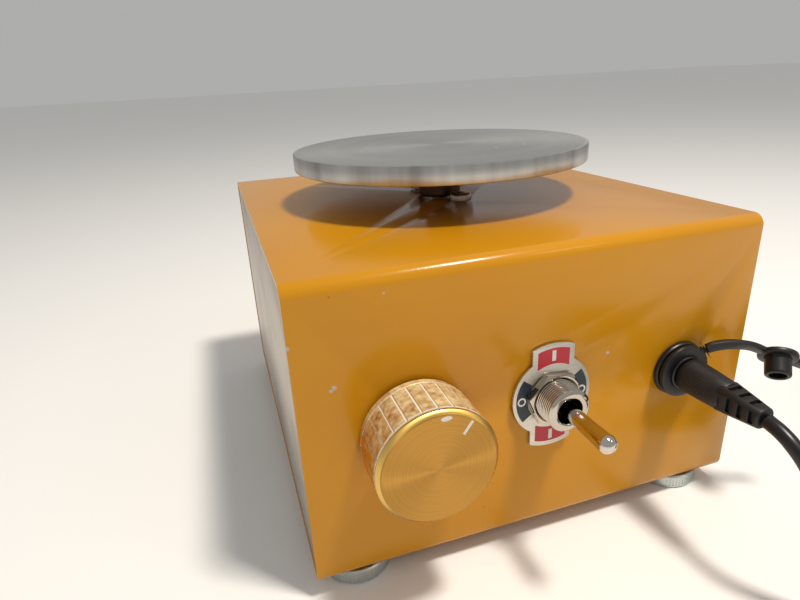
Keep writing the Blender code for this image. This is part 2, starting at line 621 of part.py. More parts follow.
def make_control_board(green, black, aluminium, blue, root):
    """The speed control board, which hangs on the potentiometer, and the parts on it."""
    top = KNOB_Z - 8 * MM - GAP
    thickness = 1.6 * MM
    width = 34 * MM
    middle_x = -43 * MM
    front = PANEL_Y + SHEET + 2 * MM
    back = -28 * MM
    centre = (middle_x, (front + back) / 2, top - thickness / 2)
    box("control_board", centre, (width, back - front, thickness), green, root)
    seat = top + GAP
    rod("board_capacitor", (-53.5 * MM, -46 * MM, seat), 5 * MM, 20 * MM, black, root, sides=28)
    sink = box("board_heatsink", (-35 * MM, -44 * MM, seat + 9 * MM), (14 * MM, 7 * MM, 18 * MM), aluminium,
               root)
    for i in range(3):
        place = ((-39.2 + 4.2 * i) * MM, -46 * MM, seat + 9 * MM)
        boolean(sink, box(f"heatsink_gap_{i}", place, (2.2 * MM, 5 * MM, 20 * MM), None, root))
    block_y = -32 * MM
    pitch = 5 * MM
    block = box("board_terminals", (middle_x, block_y, seat + 5 * MM), (22 * MM, 7.6 * MM, 10 * MM), blue,
                root)
    for i in range(4):
        x = middle_x + (i - 1.5) * pitch
        place = (x, block_y, seat + 11 * MM)
        boolean(block, rod(f"terminal_screw_hole_{i}", place, 1.7 * MM, 4 * MM, None, root, (math.pi, 0, 0),
                           12))
        mouth = (x, block_y + 4.4 * MM, seat + 4 * MM)
        boolean(block, box(f"terminal_mouth_{i}", mouth, (3 * MM, 4 * MM, 3 * MM), None, root))


def make_switch(steel, sheet, blue, root, lever_axis):
    """A three-position toggle: case, threaded bushing, legend plate, nut and lever."""
    place = panel_point(SWITCH_X, 0, SWITCH_Z)
    inside = -SHEET - GAP
    flange = 1.0 * MM
    throat = 2.6 * MM
    mouth = 3.7 * MM
    bushing = [(mouth, BUSHING_REACH), (BUSHING_RADIUS - 0.7 * MM, BUSHING_REACH),
               (BUSHING_RADIUS, BUSHING_REACH - 0.7 * MM), (BUSHING_RADIUS, inside), (8 * MM, inside),
               (8 * MM, inside - flange), (throat, inside - flange), (throat, LEVER_PIVOT + 2.4 * MM)]
    turned("switch_bushing", bushing, steel, root, place, FORWARD, steps=28)
    case_front = inside - flange - GAP
    centre = panel_point(SWITCH_X, case_front - SWITCH_CASE_SIZE.y / 2, SWITCH_Z)
    case = box("switch_case", centre, SWITCH_CASE_SIZE, blue, root)
    bevel(case, 0.6 * MM)
    for row in (-1, 0, 1):
        for side in (-1, 1):
            lug = box(f"switch_lug_{row}_{side}", centre + Vector((side * 4.8, 11, row * 9.4)) * MM,
                      (2.2 * MM, 8 * MM, 0.8 * MM), None, root)
            boolean(case, lug, "UNION")
    legend = panel_point(SWITCH_X, GAP + LEGEND_THICKNESS / 2, SWITCH_Z)
    flat("legend_plate", [legend_outline(), circle_outline(BUSHING_RADIUS + GAP, 28)], LEGEND_THICKNESS,
         sheet, root, legend, FORWARD)
    nut_rear = GAP + LEGEND_THICKNESS + GAP
    nut_thickness = 2.4 * MM
    hexagon("switch_nut", BUSHING_RADIUS + RADIAL_GAP, 14 * MM, nut_thickness, steel, root,
            panel_point(SWITCH_X, nut_rear + nut_thickness / 2, SWITCH_Z), math.radians(-9))
    make_lever(steel, lever_axis)


def legend_outline():
    """A disc with a tab at the top and one at the bottom, whose outer edges are arcs round its centre."""
    corner = math.acos(LEGEND_TAB_HALF_WIDTH / LEGEND_RADIUS)
    tab_corner = math.acos(LEGEND_TAB_HALF_WIDTH / LEGEND_TAB_REACH)
    outline = []
    for start in (0.0, math.pi):
        side = [-corner + 2 * corner * i / 12 for i in range(13)]
        outline.extend((LEGEND_RADIUS * math.cos(start + a), LEGEND_RADIUS * math.sin(start + a))
                       for a in side)
        tab = [tab_corner + (math.pi - 2 * tab_corner) * i / 6 for i in range(7)]
        outline.extend((LEGEND_TAB_REACH * math.cos(start + a), LEGEND_TAB_REACH * math.sin(start + a))
                       for a in tab)
    return outline


def make_lever(steel, lever_axis):
    """The switch lever: a ball in the bushing, a bar that widens outwards, and a rounded end."""
    end_radius = 2.4 * MM
    end_centre = LEVER_REACH - end_radius - LEVER_PIVOT
    ball = 2.45 * MM
    profile = [(end_radius * math.sin(a), end_centre + end_radius * math.cos(a))
               for a in (math.radians(15 * i) for i in range(7))]
    profile.append((1.9 * MM, 3.0 * MM))
    profile.extend((ball * math.cos(a), ball * math.sin(a))
                   for a in (math.radians(35 - 15 * i) for i in range(7)))
    profile.append((1.2 * MM, -4.2 * MM))
    profile.append((0, -4.2 * MM))
    turned("switch_lever", profile, steel, lever_axis, steps=20)


def make_jack(black, steel, root):
    """The round power socket: flanged body, its centre pin and the nut behind the panel."""
    place = panel_point(JACK_X, 0, JACK_Z)
    bore = 2.9 * MM
    floor = -7.0 * MM
    body = [(0, floor), (bore, floor), (bore, 4.3 * MM), (4.8 * MM, 4.3 * MM), (JACK_BARREL, 4.1 * MM),
            (JACK_BARREL, 1.7 * MM), (JACK_FLANGE_RADIUS - 0.5 * MM, 1.7 * MM),
            (JACK_FLANGE_RADIUS, 1.2 * MM), (JACK_FLANGE_RADIUS, GAP), (JACK_THREAD_RADIUS, GAP),
            (JACK_THREAD_RADIUS, -9 * MM), (4.8 * MM, -9 * MM), (4.8 * MM, -14 * MM), (0, -14 * MM)]
    turned("jack_body", body, black, root, place, FORWARD, steps=28)
    rod("jack_pin", panel_point(JACK_X, floor + GAP, JACK_Z), 1.0 * MM, 9 * MM, steel, root, FORWARD, 16)
    nut_thickness = 2.4 * MM
    centre = panel_point(JACK_X, -SHEET - GAP - nut_thickness / 2, JACK_Z)
    hexagon("jack_nut", JACK_THREAD_RADIUS + RADIAL_GAP, 14 * MM, nut_thickness, steel, root, centre)


def make_dust_cap(rubber, cap_axis):
    """The jack's rubber cap, out of use: ring on the jack, strap, disc with hollow plug, and pull tab."""
    origin = panel_point(JACK_X, 0, JACK_Z)
    ring = [(JACK_BARREL + 0.15 * MM, 3.6 * MM), (7.6 * MM, 3.6 * MM), (7.9 * MM, 3.3 * MM),
            (7.9 * MM, 2.0 * MM), (JACK_BARREL + 0.15 * MM, 2.0 * MM)]
    cap = turned("dust_cap", ring, rubber, cap_axis, (0, 0, 0), FORWARD, steps=28)
    boolean(cap, make_strap(origin, cap_axis), "UNION")
    across = Vector((1, 0, 0)) - CAP_AXIS * CAP_AXIS.x
    across.normalize()
    side = CAP_AXIS.cross(across)
    frame = Matrix((across, side, CAP_AXIS)).transposed().to_4x4()
    half = 0.8 * MM
    disc_radius = 5.2 * MM
    plug = 3.4 * MM
    length = 6.3 * MM
    disc = [(0, 1.6 * MM), (2.2 * MM, 1.6 * MM), (2.2 * MM, length), (plug - 0.4 * MM, length),
            (plug, length - 0.4 * MM), (plug, half), (disc_radius - 0.4 * MM, half),
            (disc_radius, half - 0.4 * MM), (disc_radius, 0.4 * MM - half), (disc_radius - 0.4 * MM, -half),
            (0, -half)]
    turned_disc = turned("dust_cap_disc", disc, None, cap_axis, CAP_CENTRE - origin, frame.to_euler(),
                         steps=24)
    boolean(cap, turned_disc, "UNION")
    tab_width = 3.6 * MM
    tab_thickness = 1.4 * MM
    start = 4.0 * MM
    edge = BODY_WIDTH / 2 + CAP_TAB_REACH
    margin = tab_width / 2 * abs(side.x) + tab_thickness / 2 * abs(CAP_AXIS.x)
    end = (edge - CAP_CENTRE.x - margin) / across.x
    middle = CAP_CENTRE + across * (start + end) / 2 - origin
    tab = box("dust_cap_tab", middle, (end - start, tab_width, tab_thickness), None, cap_axis,
              frame.to_euler())
    boolean(cap, tab, "UNION")


def make_strap(origin, cap_axis):
    """A flat strap along its route, which turns from the ring's plane into the cap's."""
    width = 2.9 * MM
    points = [panel_point(x * MM, out * MM, z * MM) - origin for x, out, z in CAP_STRAP]
    route = smooth_route(points, 1.6 * MM)
    shape = bmesh.new()
    rows = []
    for i, point in enumerate(route):
        along = (route[min(i + 1, len(route) - 1)] - route[max(i - 1, 0)]).normalized()
        face = Vector((0, -1, 0)).lerp(CAP_AXIS, i / (len(route) - 1))
        across = along.cross(face).normalized() * width / 2
        rows.append((shape.verts.new(point - across), shape.verts.new(point + across)))
    for (a, b), (c, d) in zip(rows, rows[1:]):
        shape.faces.new((a, b, d, c))
    bmesh.ops.recalc_face_normals(shape, faces=shape.faces)
    mesh = bpy.data.meshes.new("dust_cap_strap")
    shape.to_mesh(mesh)
    shape.free()
    strap = add_part("dust_cap_strap", mesh, None, cap_axis)
    sheet = strap.modifiers.new("thickness", "SOLIDIFY")
    sheet.thickness = 1.4 * MM
    sheet.offset = 0.0
    return strap


def make_power_lead(rubber, steel, root):
    """Plug, cord down to the table, the coil of spare cord, and the wall adapter on its end."""
    place = panel_point(JACK_X, 0, JACK_Z)
    plug = [(0, PLUG_END), (2.7 * MM, PLUG_END), (3.0 * MM, PLUG_END - 0.4 * MM),
            (4.1 * MM, RELIEF_START + 0.6 * MM), (4.4 * MM, RELIEF_START), (4.75 * MM, 11 * MM),
            (4.95 * MM, PLUG_START + 1.4 * MM), (4.5 * MM, PLUG_START), (0, PLUG_START)]
    turned("plug_body", plug, rubber, root, place, FORWARD, steps=24)
    sleeve = [(1.3 * MM, PLUG_START - GAP), (2.75 * MM, PLUG_START - GAP), (2.75 * MM, -5.4 * MM),
              (1.3 * MM, -5.4 * MM)]
    turned("plug_sleeve", sleeve, steel, root, place, FORWARD, steps=16)
    spacing = 4.2 * CORD_RADIUS
    lead = [panel_point(x * MM, out * MM, z * MM) for x, out, z in LEAD_ROUTE]
    tube("cord_lead", smooth_route(lead, spacing), CORD_RADIUS, rubber, root)
    wide = COIL_TURNS_WIDE * CORD_RADIUS
    low = -FOOT_HEIGHT
    high = low + COIL_LAYERS * 2 * CORD_RADIUS
    round_edge = 1.4 * MM
    outer = COIL_MIDDLE_RADIUS + wide
    inner = COIL_MIDDLE_RADIUS - wide
    coil = [(inner, high - round_edge), (inner + round_edge, high), (outer - round_edge, high),
            (outer, high - round_edge), (outer, low + round_edge), (outer - round_edge, low),
            (inner + round_edge, low), (inner, low + round_edge)]
    turned("cord_coil", coil, rubber, root, COIL_CENTRE, steps=36)
    tail = [panel_point(x * MM, out * MM, z * MM) for x, out, z in TAIL_ROUTE]
    tube("cord_tail", smooth_route(tail, spacing), CORD_RADIUS, rubber, root)
    make_adapter(rubber, steel, root)


def make_adapter(rubber, steel, root):
    """A wall adapter on its back, its cord gland towards the front and its two blades up."""
    width, length, height = ADAPTER_SIZE
    middle = Vector((ADAPTER_X, ADAPTER_FRONT + length / 2, height / 2 - FOOT_HEIGHT))
    body = box("adapter_body", middle, ADAPTER_SIZE, rubber, root)
    bevel(body, 2.4 * MM, 3)
    gland = turned("adapter_gland", [(0, 10 * MM), (2.7 * MM, 10 * MM), (4.0 * MM, 0), (4.0 * MM, -4 * MM),
                                     (0, -4 * MM)], None, root,
                   (ADAPTER_X, ADAPTER_FRONT, ADAPTER_CORD_HEIGHT), FORWARD, steps=24)
    boolean(body, gland, "UNION")
    top = height - FOOT_HEIGHT + GAP
    for side, name in ((-1, "adapter_blade_left"), (1, "adapter_blade_right")):
        place = (ADAPTER_X + side * BLADE_SPACING / 2, middle.y + BLADE_SET_BACK, top + BLADE_SIZE.z / 2)
        bevel(box(name, place, BLADE_SIZE, steel, root), 0.4 * MM)


def make_wires(red, black, root):
    """Hook-up wires: socket to board, board to switch and switch to motor."""
    radius = 0.8 * MM
    routes = {
        "jack_wire_positive": [(45, 60.3, 44), (45, 52, 42), (41, 44, 26), (26, 39, 11), (0, 38, 8),
                               (-24, 32, 12), (-33, 23.4, 28), (-35.5, 22.6, 36.2), (-35.5, 27.6, 37.6)],
        "jack_wire_negative": [(41, 60.3, 40.4), (41, 54, 37.6), (36.5, 47.4, 21.5), (22, 42.6, 6.6),
                               (-4, 41, 3.8), (-29, 32, 7.8), (-38, 23.4, 25), (-40.5, 22.6, 35.4),
                               (-40.5, 27.6, 37.6)],
        "motor_wire_positive": [(12, 0.6, 7.2), (12.4, 5, 4.4), (10, 20, 4), (8, 34, 14), (6.6, 40.6, 24),
                                (5.9, 44.6, 30.4)],
        "motor_wire_negative": [(-12, 0.6, 7.2), (-12.4, 5, 4.4), (-10, 20, 4), (-6.4, 34, 14),
                                (-4.6, 40.6, 24), (-3.7, 44.6, 30.4)],
    }
    for name, points in routes.items():
        material = red if name.endswith("positive") else black
        route = [Vector((x, -inward, z)) * MM for x, inward, z in points]
        tube(name, smooth_route(route, 6 * radius), radius, material, root, sides=1)


def main():
    start_scene()
    paint = make_material("orange_enamel", (0.56, 0.22, 0.02), 0.22)
    bare = make_material("brushed_sheet", (0.52, 0.50, 0.47), 0.42, 1.0)
    aluminium = make_material("turned_aluminium", (0.62, 0.62, 0.60), 0.3, 1.0)
    gold = make_material("gold_anodised", (0.72, 0.45, 0.12), 0.28, 1.0)
    nickel = make_material("nickel_plate", (0.66, 0.63, 0.58), 0.12, 1.0)
    steel = make_material("plain_steel", (0.45, 0.44, 0.43), 0.35, 1.0)
    dark = make_material("dark_steel", (0.10, 0.09, 0.08), 0.45, 1.0)
    ferrite = make_material("ferrite", (0.05, 0.05, 0.055), 0.7)
    black = make_material("black_plastic", (0.02, 0.02, 0.022), 0.4)
    rubber = make_material("black_rubber", (0.03, 0.03, 0.032), 0.55)
    copper = make_material("copper_wire", (0.62, 0.26, 0.14), 0.35, 1.0)
    brass = make_material("brass", (0.68, 0.48, 0.2), 0.3, 1.0)
    red = make_material("red_plastic", (0.45, 0.02, 0.02), 0.45)
    blue = make_material("blue_plastic", (0.03, 0.10, 0.36), 0.45)
    green = make_material("board_green", (0.02, 0.16, 0.06), 0.4)
    root = make_empty("frame_root", FRAME)
    spindle = make_empty("wheel_axis", (0, 0, 0), root)
    knob_axis = make_empty("knob_axis", panel_point(KNOB_X, 0, KNOB_Z), root)
    knob_axis.rotation_euler = FORWARD
    lever_axis = make_empty("lever_axis", panel_point(SWITCH_X, LEVER_PIVOT, SWITCH_Z), root)
    lever_axis.rotation_euler = FORWARD
    cap_axis = make_empty("dust_cap_axis", panel_point(JACK_X, 0, JACK_Z), root)
    make_housing(paint, bare, root)
    make_feet(aluminium, steel, root)
    make_wheel_head(aluminium, dark, steel, spindle)
    make_motor_case(steel, black, ferrite, root)
    make_brushes(copper, root)
    make_rotor(steel, copper, brass, black, spindle)
    make_motor_screws(steel, root)
    make_speed_control(gold, nickel, black, root, knob_axis)
    make_control_board(green, black, aluminium, blue, root)
    make_switch(nickel, bare, blue, root, lever_axis)
    make_jack(black, nickel, root)
    make_dust_cap(rubber, cap_axis)
    make_power_lead(rubber, nickel, root)
    make_wires(red, black, root)


main()
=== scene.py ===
import math
from functools import partial

import bmesh
import bpy
from mathutils import Matrix, Vector


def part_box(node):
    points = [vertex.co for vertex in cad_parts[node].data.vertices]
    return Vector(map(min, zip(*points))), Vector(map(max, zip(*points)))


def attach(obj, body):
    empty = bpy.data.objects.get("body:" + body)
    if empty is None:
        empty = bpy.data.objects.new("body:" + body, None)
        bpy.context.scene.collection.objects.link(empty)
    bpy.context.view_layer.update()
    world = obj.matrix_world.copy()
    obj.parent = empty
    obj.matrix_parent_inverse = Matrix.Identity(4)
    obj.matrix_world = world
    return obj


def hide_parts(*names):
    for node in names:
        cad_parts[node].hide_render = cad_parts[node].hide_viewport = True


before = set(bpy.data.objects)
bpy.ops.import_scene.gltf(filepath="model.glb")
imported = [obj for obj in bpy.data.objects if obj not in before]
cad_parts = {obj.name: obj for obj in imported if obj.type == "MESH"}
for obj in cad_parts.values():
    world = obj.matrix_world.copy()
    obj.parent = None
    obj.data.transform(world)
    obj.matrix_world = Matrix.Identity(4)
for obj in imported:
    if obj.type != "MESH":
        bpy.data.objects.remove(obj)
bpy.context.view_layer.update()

mm = 0.001
shellLow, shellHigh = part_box("housing_shell")
middle = (shellLow + shellHigh) / 2
panelY = (shellLow.y - middle.y) / mm   # the front panel, in mm from the housing's middle


def at(x, y, z):
    # a place in mm from the middle of the housing's underside
    return Vector((middle.x + x * mm, middle.y + y * mm, shellLow.z + z * mm))


def onPanel(x, out, z):
    return at(x, panelY - out, z)


def pick(*pieces):
    if bpy.context.mode != "OBJECT":
        bpy.ops.object.mode_set(mode="OBJECT")
    bpy.ops.object.select_all(action="DESELECT")
    for piece in pieces:
        piece.select_set(True)
    if pieces:
        bpy.context.view_layer.objects.active = pieces[0]


def named(name):
    piece = bpy.context.object
    piece.name = name
    piece.data.name = name
    return piece


def selectFaces(piece, wanted):
    # leaves the faces that wanted(centre, normal) says yes to selected, in edit mode
    pick(piece)
    bpy.ops.object.mode_set(mode="EDIT")
    bpy.ops.mesh.select_mode(type="FACE")
    bpy.ops.mesh.select_all(action="DESELECT")
    shape = bmesh.from_edit_mesh(piece.data)
    for face in shape.faces:
        if wanted(face.calc_center_median(), face.normal):
            face.select_set(True)
    bmesh.update_edit_mesh(piece.data)


def selectEdges(piece, wanted):
    pick(piece)
    bpy.ops.object.mode_set(mode="EDIT")
    bpy.ops.mesh.select_mode(type="EDGE")
    bpy.ops.mesh.select_all(action="DESELECT")
    shape = bmesh.from_edit_mesh(piece.data)
    for edge in shape.edges:
        if wanted(edge.verts[0].co, edge.verts[1].co):
            edge.select_set(True)
    bmesh.update_edit_mesh(piece.data)


def addBox(name, centre, size):
    pick()
    bpy.ops.mesh.primitive_cube_add(size=1.0, location=centre)
    piece = named(name)
    piece.scale = [side * mm for side in size]
    bpy.ops.object.transform_apply(location=False, rotation=False, scale=True)
    return piece


def roundEdges(piece, axis, width, segments):
    # bevels the edges that run along an axis
    selectEdges(piece, lambda a, b: abs(a[axis] - b[axis]) > 1 * mm)
    bpy.ops.mesh.bevel(offset=width * mm, segments=segments, affect="EDGES")
    pick(piece)


def roundFace(piece, axis, way, width, segments):
    # bevels round the face that looks one way along an axis
    selectFaces(piece, lambda centre, normal: normal[axis] * way > 0.9)
    bpy.ops.mesh.bevel(offset=width * mm, segments=segments, affect="EDGES")
    pick(piece)


def columnAt(centre, columns):
    # which of the equal columns round Z a face lies in
    return math.floor((math.atan2(centre.y, centre.x) % (2 * math.pi)) / (2 * math.pi / columns))


def drawLine(name, route, unit=1.0):
    # a point drawn along a route given in a unit of so many metres, left in edit mode
    pick()
    bpy.ops.mesh.primitive_plane_add(size=mm)
    piece = named(name)
    bpy.ops.object.mode_set(mode="EDIT")
    bpy.ops.mesh.select_mode(type="VERT")
    bpy.ops.mesh.select_all(action="SELECT")
    bpy.ops.mesh.merge(type="CENTER")
    bpy.ops.transform.translate(value=[side * unit for side in route[0]])
    for here, there in zip(route, route[1:]):
        step = [(b - a) * unit for a, b in zip(here, there)]
        bpy.ops.mesh.extrude_vertices_move(TRANSFORM_OT_translate={"value": step})
    return piece


def faceOutwards(piece):
    # doubles merged and every face turned outwards
    pick(piece)
    bpy.ops.object.mode_set(mode="EDIT")
    bpy.ops.mesh.select_all(action="SELECT")
    bpy.ops.mesh.remove_doubles(threshold=0.002 * mm)
    bpy.ops.mesh.normals_make_consistent(inside=False)
    bpy.ops.object.mode_set(mode="OBJECT")


def spinPiece(name, profile, steps, place, turn=(0, 0, 0)):
    # the profile of (radius, height) in mm is drawn as a line and spun round Z
    piece = drawLine(name, [(radius, 0, height) for radius, height in profile], mm)
    bpy.ops.mesh.select_all(action="SELECT")
    bpy.ops.mesh.spin(steps=steps, angle=2 * math.pi, center=(0, 0, 0), axis=(0, 0, 1))
    faceOutwards(piece)
    piece.location = place
    piece.rotation_euler = turn
    return piece


facingOut = (math.radians(90), 0, 0)   # the turned axis points out of the front panel


def cutWith(piece, tool, operation="DIFFERENCE"):
    step = piece.modifiers.new("cut", "BOOLEAN")
    step.operation = operation
    step.solver = "EXACT"
    step.object = tool
    pick(piece)
    bpy.ops.object.modifier_apply(modifier="cut")
    bpy.data.objects.remove(tool)


def addRod(place, radius, length, turn=(0, 0, 0), sides=48):
    pick()
    bpy.ops.mesh.primitive_cylinder_add(vertices=sides, radius=radius * mm, depth=length * mm, location=place,
                                        rotation=turn)
    return bpy.context.object


def soften(piece, width, segments=2, angle=40):
    step = piece.modifiers.new("soft edge", "BEVEL")
    step.width = width * mm
    step.segments = segments
    step.limit_method = "ANGLE"
    step.angle_limit = math.radians(angle)
    step.harden_normals = False


def joined(name, *pieces):
    for piece in pieces:
        pick(piece)
        for step in list(piece.modifiers):
            bpy.ops.object.modifier_apply(modifier=step.name)
        bpy.ops.object.transform_apply(location=True, rotation=True, scale=True)
    pick(*pieces)
    bpy.ops.object.join()
    return named(name)


def copied(piece, name, shift):
    twin = piece.copy()
    twin.data = piece.data.copy()
    twin.name = name
    twin.data.name = name
    bpy.context.scene.collection.objects.link(twin)
    twin.location = twin.location + Vector(shift) * mm
    return twin


def settle(piece, finish, body, slotName, *replaced, smoothAngle=32):
    # the finished piece: modifiers applied, its place in its mesh, its finish, and the body it moves with
    pick(piece)
    for step in list(piece.modifiers):
        bpy.ops.object.modifier_apply(modifier=step.name)
    bpy.ops.object.transform_apply(location=True, rotation=True, scale=True)
    bpy.ops.object.shade_smooth_by_angle(angle=math.radians(smoothAngle))
    piece.data.materials.clear()
    piece.data.materials.append(finishes[finish])
    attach(piece, body)
    if replaced:
        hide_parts(*replaced)
    return piece


# camera, floor and light

cameraView = {"place": at(-75.34, -191.26, 125.36), "right": (0.94916, -0.31086, -0.04965),
              "ahead": (0.27197, 0.88919, -0.36793), "lens": 25.80, "nearest": 0.01}


def placeCamera():
    camera = bpy.data.objects.new("camera", bpy.data.cameras.new("camera"))
    bpy.context.scene.collection.objects.link(camera)
    right = Vector(cameraView["right"]).normalized()
    back = -Vector(cameraView["ahead"]).normalized()
    up = back.cross(right)
    turn = Matrix((right, up, back)).transposed()
    camera.matrix_world = Matrix.Translation(cameraView["place"]) @ turn.to_4x4()
    camera.data.sensor_width = 36
    camera.data.lens = cameraView["lens"]
    camera.data.clip_start = cameraView["nearest"]
    bpy.context.scene.camera = camera


def hexColour(code):
    # an sRGB hex value as the linear colour that a socket takes
    parts = [int(code[i:i + 2], 16) / 255 for i in (1, 3, 5)]
    return (*[p / 12.92 if p <= 0.04045 else ((p + 0.055) / 1.055) ** 2.4 for p in parts], 1.0)


def addNode(material, kind, inputs=(), out=0, **settings):
    # one node: its settings, then its inputs by name or in order, each a value, a hex colour or what feeds it
    node = material.node_tree.nodes.new("ShaderNode" + kind)
    for name, value in settings.items():
        setattr(node, name, value)
    for key, value in inputs.items() if isinstance(inputs, dict) else enumerate(inputs):
        if isinstance(value, bpy.types.NodeSocket):
            material.node_tree.links.new(value, node.inputs[key])
        else:
            node.inputs[key].default_value = hexColour(value) if isinstance(value, str) else value
    return node.outputs[out]


studio = {"floor": "#f6f5f3", "sky": "#f1f1ef", "skyStrength": 0.48,
          "key": {"size": 0.12, "away": 0.95, "lean": (0.20, -0.30, 1.0), "power": 7.2, "colour": "#fff6ea"},
          "right": {"size": 0.3, "place": (0.9, -0.9, 1.15), "power": 0.9, "colour": "#fffaf4"}}


def makeStudio():
    pick()
    bpy.ops.mesh.primitive_plane_add(size=14.0, location=(0, 0, 0))
    floor = named("studio_floor")
    paper = bpy.data.materials.new("studioPaper")
    paper.use_nodes = True
    shader = paper.node_tree.nodes["Principled BSDF"]
    shader.inputs["Base Color"].default_value = hexColour(studio["floor"])
    shader.inputs["Roughness"].default_value = 0.9
    floor.data.materials.append(paper)
    world = bpy.data.worlds.new("studio")
    bpy.context.scene.world = world
    world.use_nodes = True
    sky = world.node_tree.nodes["Background"]
    sky.inputs["Color"].default_value = hexColour(studio["sky"])
    sky.inputs["Strength"].default_value = studio["skyStrength"]
    key = studio["key"]
    addLight("key", Vector(key["lean"]).normalized() * key["away"], key)
    addLight("right", Vector(studio["right"]["place"]), studio["right"])
    bpy.context.scene.view_settings.view_transform = "Standard"


def addLight(name, place, settings):
    light = bpy.data.lights.new(name, "AREA")
    light.size = settings["size"]
    light.energy = settings["power"]
    light.color = hexColour(settings["colour"])[:3]
    lamp = bpy.data.objects.new(name, light)
    bpy.context.scene.collection.objects.link(lamp)
    lamp.location = place
    lamp.rotation_euler = (-place).to_track_quat("-Z", "Y").to_euler()


placeCamera()
makeStudio()
print("camera and studio placed")


# materials

def newMaterial(name, colour, roughness, metallic=0.0, **sockets):
    # a surface, and the function that adds a node to it
    material = bpy.data.materials.new(name)
    material.use_nodes = True
    shader = material.node_tree.nodes["Principled BSDF"]
    shader.inputs["Base Color"].default_value = hexColour(colour)
    settings = {"Roughness": roughness, "Metallic": metallic, **sockets}
    for socketName, value in settings.items():
        shader.inputs[socketName.replace("_", " ")].default_value = value
    return material, partial(addNode, material)


def coat(material, **sources):
    # joins what feeds the surface's own sockets
    shader = material.node_tree.nodes["Principled BSDF"]
    for name, source in sources.items():
        material.node_tree.links.new(source, shader.inputs[name.replace("_", " ")])
    return material


def placeFrom(add, centre):
    # where a point lies from the given centre, in metres
    return add("VectorMath", (add("TexCoord", out="Object"), centre), operation="SUBTRACT")


def roundAxis(add, centre, axis):
    # radius, angle and height of a point about an axis through centre, and the way the cut ran there
    place = placeFrom(add, centre)
    x, y, z = add("SeparateXYZ", (place,)).node.outputs
    across, up, along = (x, y, z) if axis == "z" else (x, z, y)
    squares = [add("Math", (side, side), operation="MULTIPLY") for side in (across, up)]
    radius = add("Math", (add("Math", squares, operation="ADD"),), operation="SQRT")
    angle = add("Math", (up, across), operation="ARCTAN2")
    way = add("VectorMath", (place, (0, 0, 1) if axis == "z" else (0, 1, 0)), operation="CROSS_PRODUCT")
    return radius, angle, along, add("VectorMath", (way,), operation="NORMALIZE")


def between(add, value, low, high, soft):
    # 1 where value lies between low and high, with soft sides
    sides = [add("MapRange", (value, end - soft * way, end + soft * way)) for end,
             way in ((low, 1), (high, -1))]
    return add("Math", sides, operation="MULTIPLY")


enamel = {
    "colour": "#cd8f14", "deep": "#bf800d", "pit": "#7a4a10", "primer": "#b9ada2", "driftMm": 60,
    "peelMm": 1.6, "peel": 0.10, "pitMm": 5.0, "pitPatchMm": 14, "raggedMm": 0.9, "ragged": 0.0009,
    "chips": [(18.7, 0, 51.7, 0.55), (-56.8, 0, 58.0, 0.6), (-57.6, 0, 57.3, 0.5), (-66.4, 0, 88.0, 0.7),
              (-66.5, 0, 70.0, 0.6), (-66.5, 3.0, 74.6, 0.6), (-43.4, 0, 79.4, 0.2)]}


def makeEnamel():
    # stoved enamel on bent sheet, sprayed: a deep gloss with a faint orange peel, some pits and small chips
    material, add = newMaterial("stovedOrangeEnamel", enamel["colour"], 0.2, IOR=1.45, Specular_IOR_Level=0.4)
    place = placeFrom(add, at(0, 0, 0))
    sizes = ((enamel["driftMm"], 3.0), (enamel["peelMm"], 1.0), (enamel["pitPatchMm"], 2.0),
             (enamel["raggedMm"], 3.0))
    drift, peel, patches, ragged = [add("TexNoise", {"Vector": place, "Scale": 1 / (size * mm),
                                                     "Detail": detail}) for size, detail in sizes]
    spots = add("TexVoronoi", {"Vector": place, "Scale": 1 / (enamel["pitMm"] * mm)})
    pits = add("Math", (add("MapRange", (spots, 0.05, 0.02)), add("MapRange", (patches, 0.54, 0.60))),
               operation="MULTIPLY")
    edge = add("Math", (ragged, enamel["ragged"]), operation="MULTIPLY")
    chips = 0.0
    for x, out, z, size in enamel["chips"]:
        spot = (x * mm, (panelY - out) * mm, z * mm)
        gap = add("VectorMath", (place, spot), out="Value", operation="DISTANCE")
        gap = add("Math", (gap, edge), operation="ADD")
        chip = add("MapRange", (gap, (size + 0.5) * mm, (size + 0.35) * mm))
        chips = add("Math", (chips, chip), operation="MAXIMUM")
    colour = enamel["deep"]
    height = peel
    for share, over, depth in ((drift, enamel["colour"], 0), (pits, enamel["pit"], -2.0),
                               (chips, enamel["primer"], -3.0)):
        colour = add("Mix", {0: share, 6: colour, 7: over}, out=2, data_type="RGBA")
        if depth:
            height = add("Math", (share, depth, height), operation="MULTIPLY_ADD")
    return coat(material, Base_Color=colour,
                Normal=add("Bump", {"Strength": enamel["peel"], "Distance": 0.2 * mm, "Height": height}))


def makeBrushed(name, colour, stain, grain, along, roughness):
    # rolled aluminium sheet brushed along one way: fine lines, and handling marks in broad patches
    material, add = newMaterial(name, colour, roughness, 1.0, Anisotropic=0.5)
    place = placeFrom(add, at(0, 0, 0))
    stretch = [1 / (grain * mm)] * 3
    stretch["xyz".index(along)] /= 60
    lines = add("Mapping", {"Vector": place, "Scale": stretch})
    lines = add("TexNoise", {"Vector": lines, "Scale": 1.0, "Detail": 3.0})
    patches = add("TexNoise", {"Vector": place, "Scale": 1 / (26 * mm), "Detail": 3.0})
    amount = add("Math", (add("MapRange", (lines, 0.3, 0.7, 0.0, 0.28)),
                          add("MapRange", (patches, 0.40, 0.72, 0.0, 0.55))), operation="ADD")
    return coat(material, Base_Color=add("Mix", {0: amount, 6: colour, 7: stain}, out=2, data_type="RGBA"),
                Roughness=add("MapRange", (lines, 0.0, 1.0, roughness - 0.08, roughness + 0.14)),
                Normal=add("Bump", {"Strength": 0.22, "Distance": 0.04 * mm, "Height": lines}))


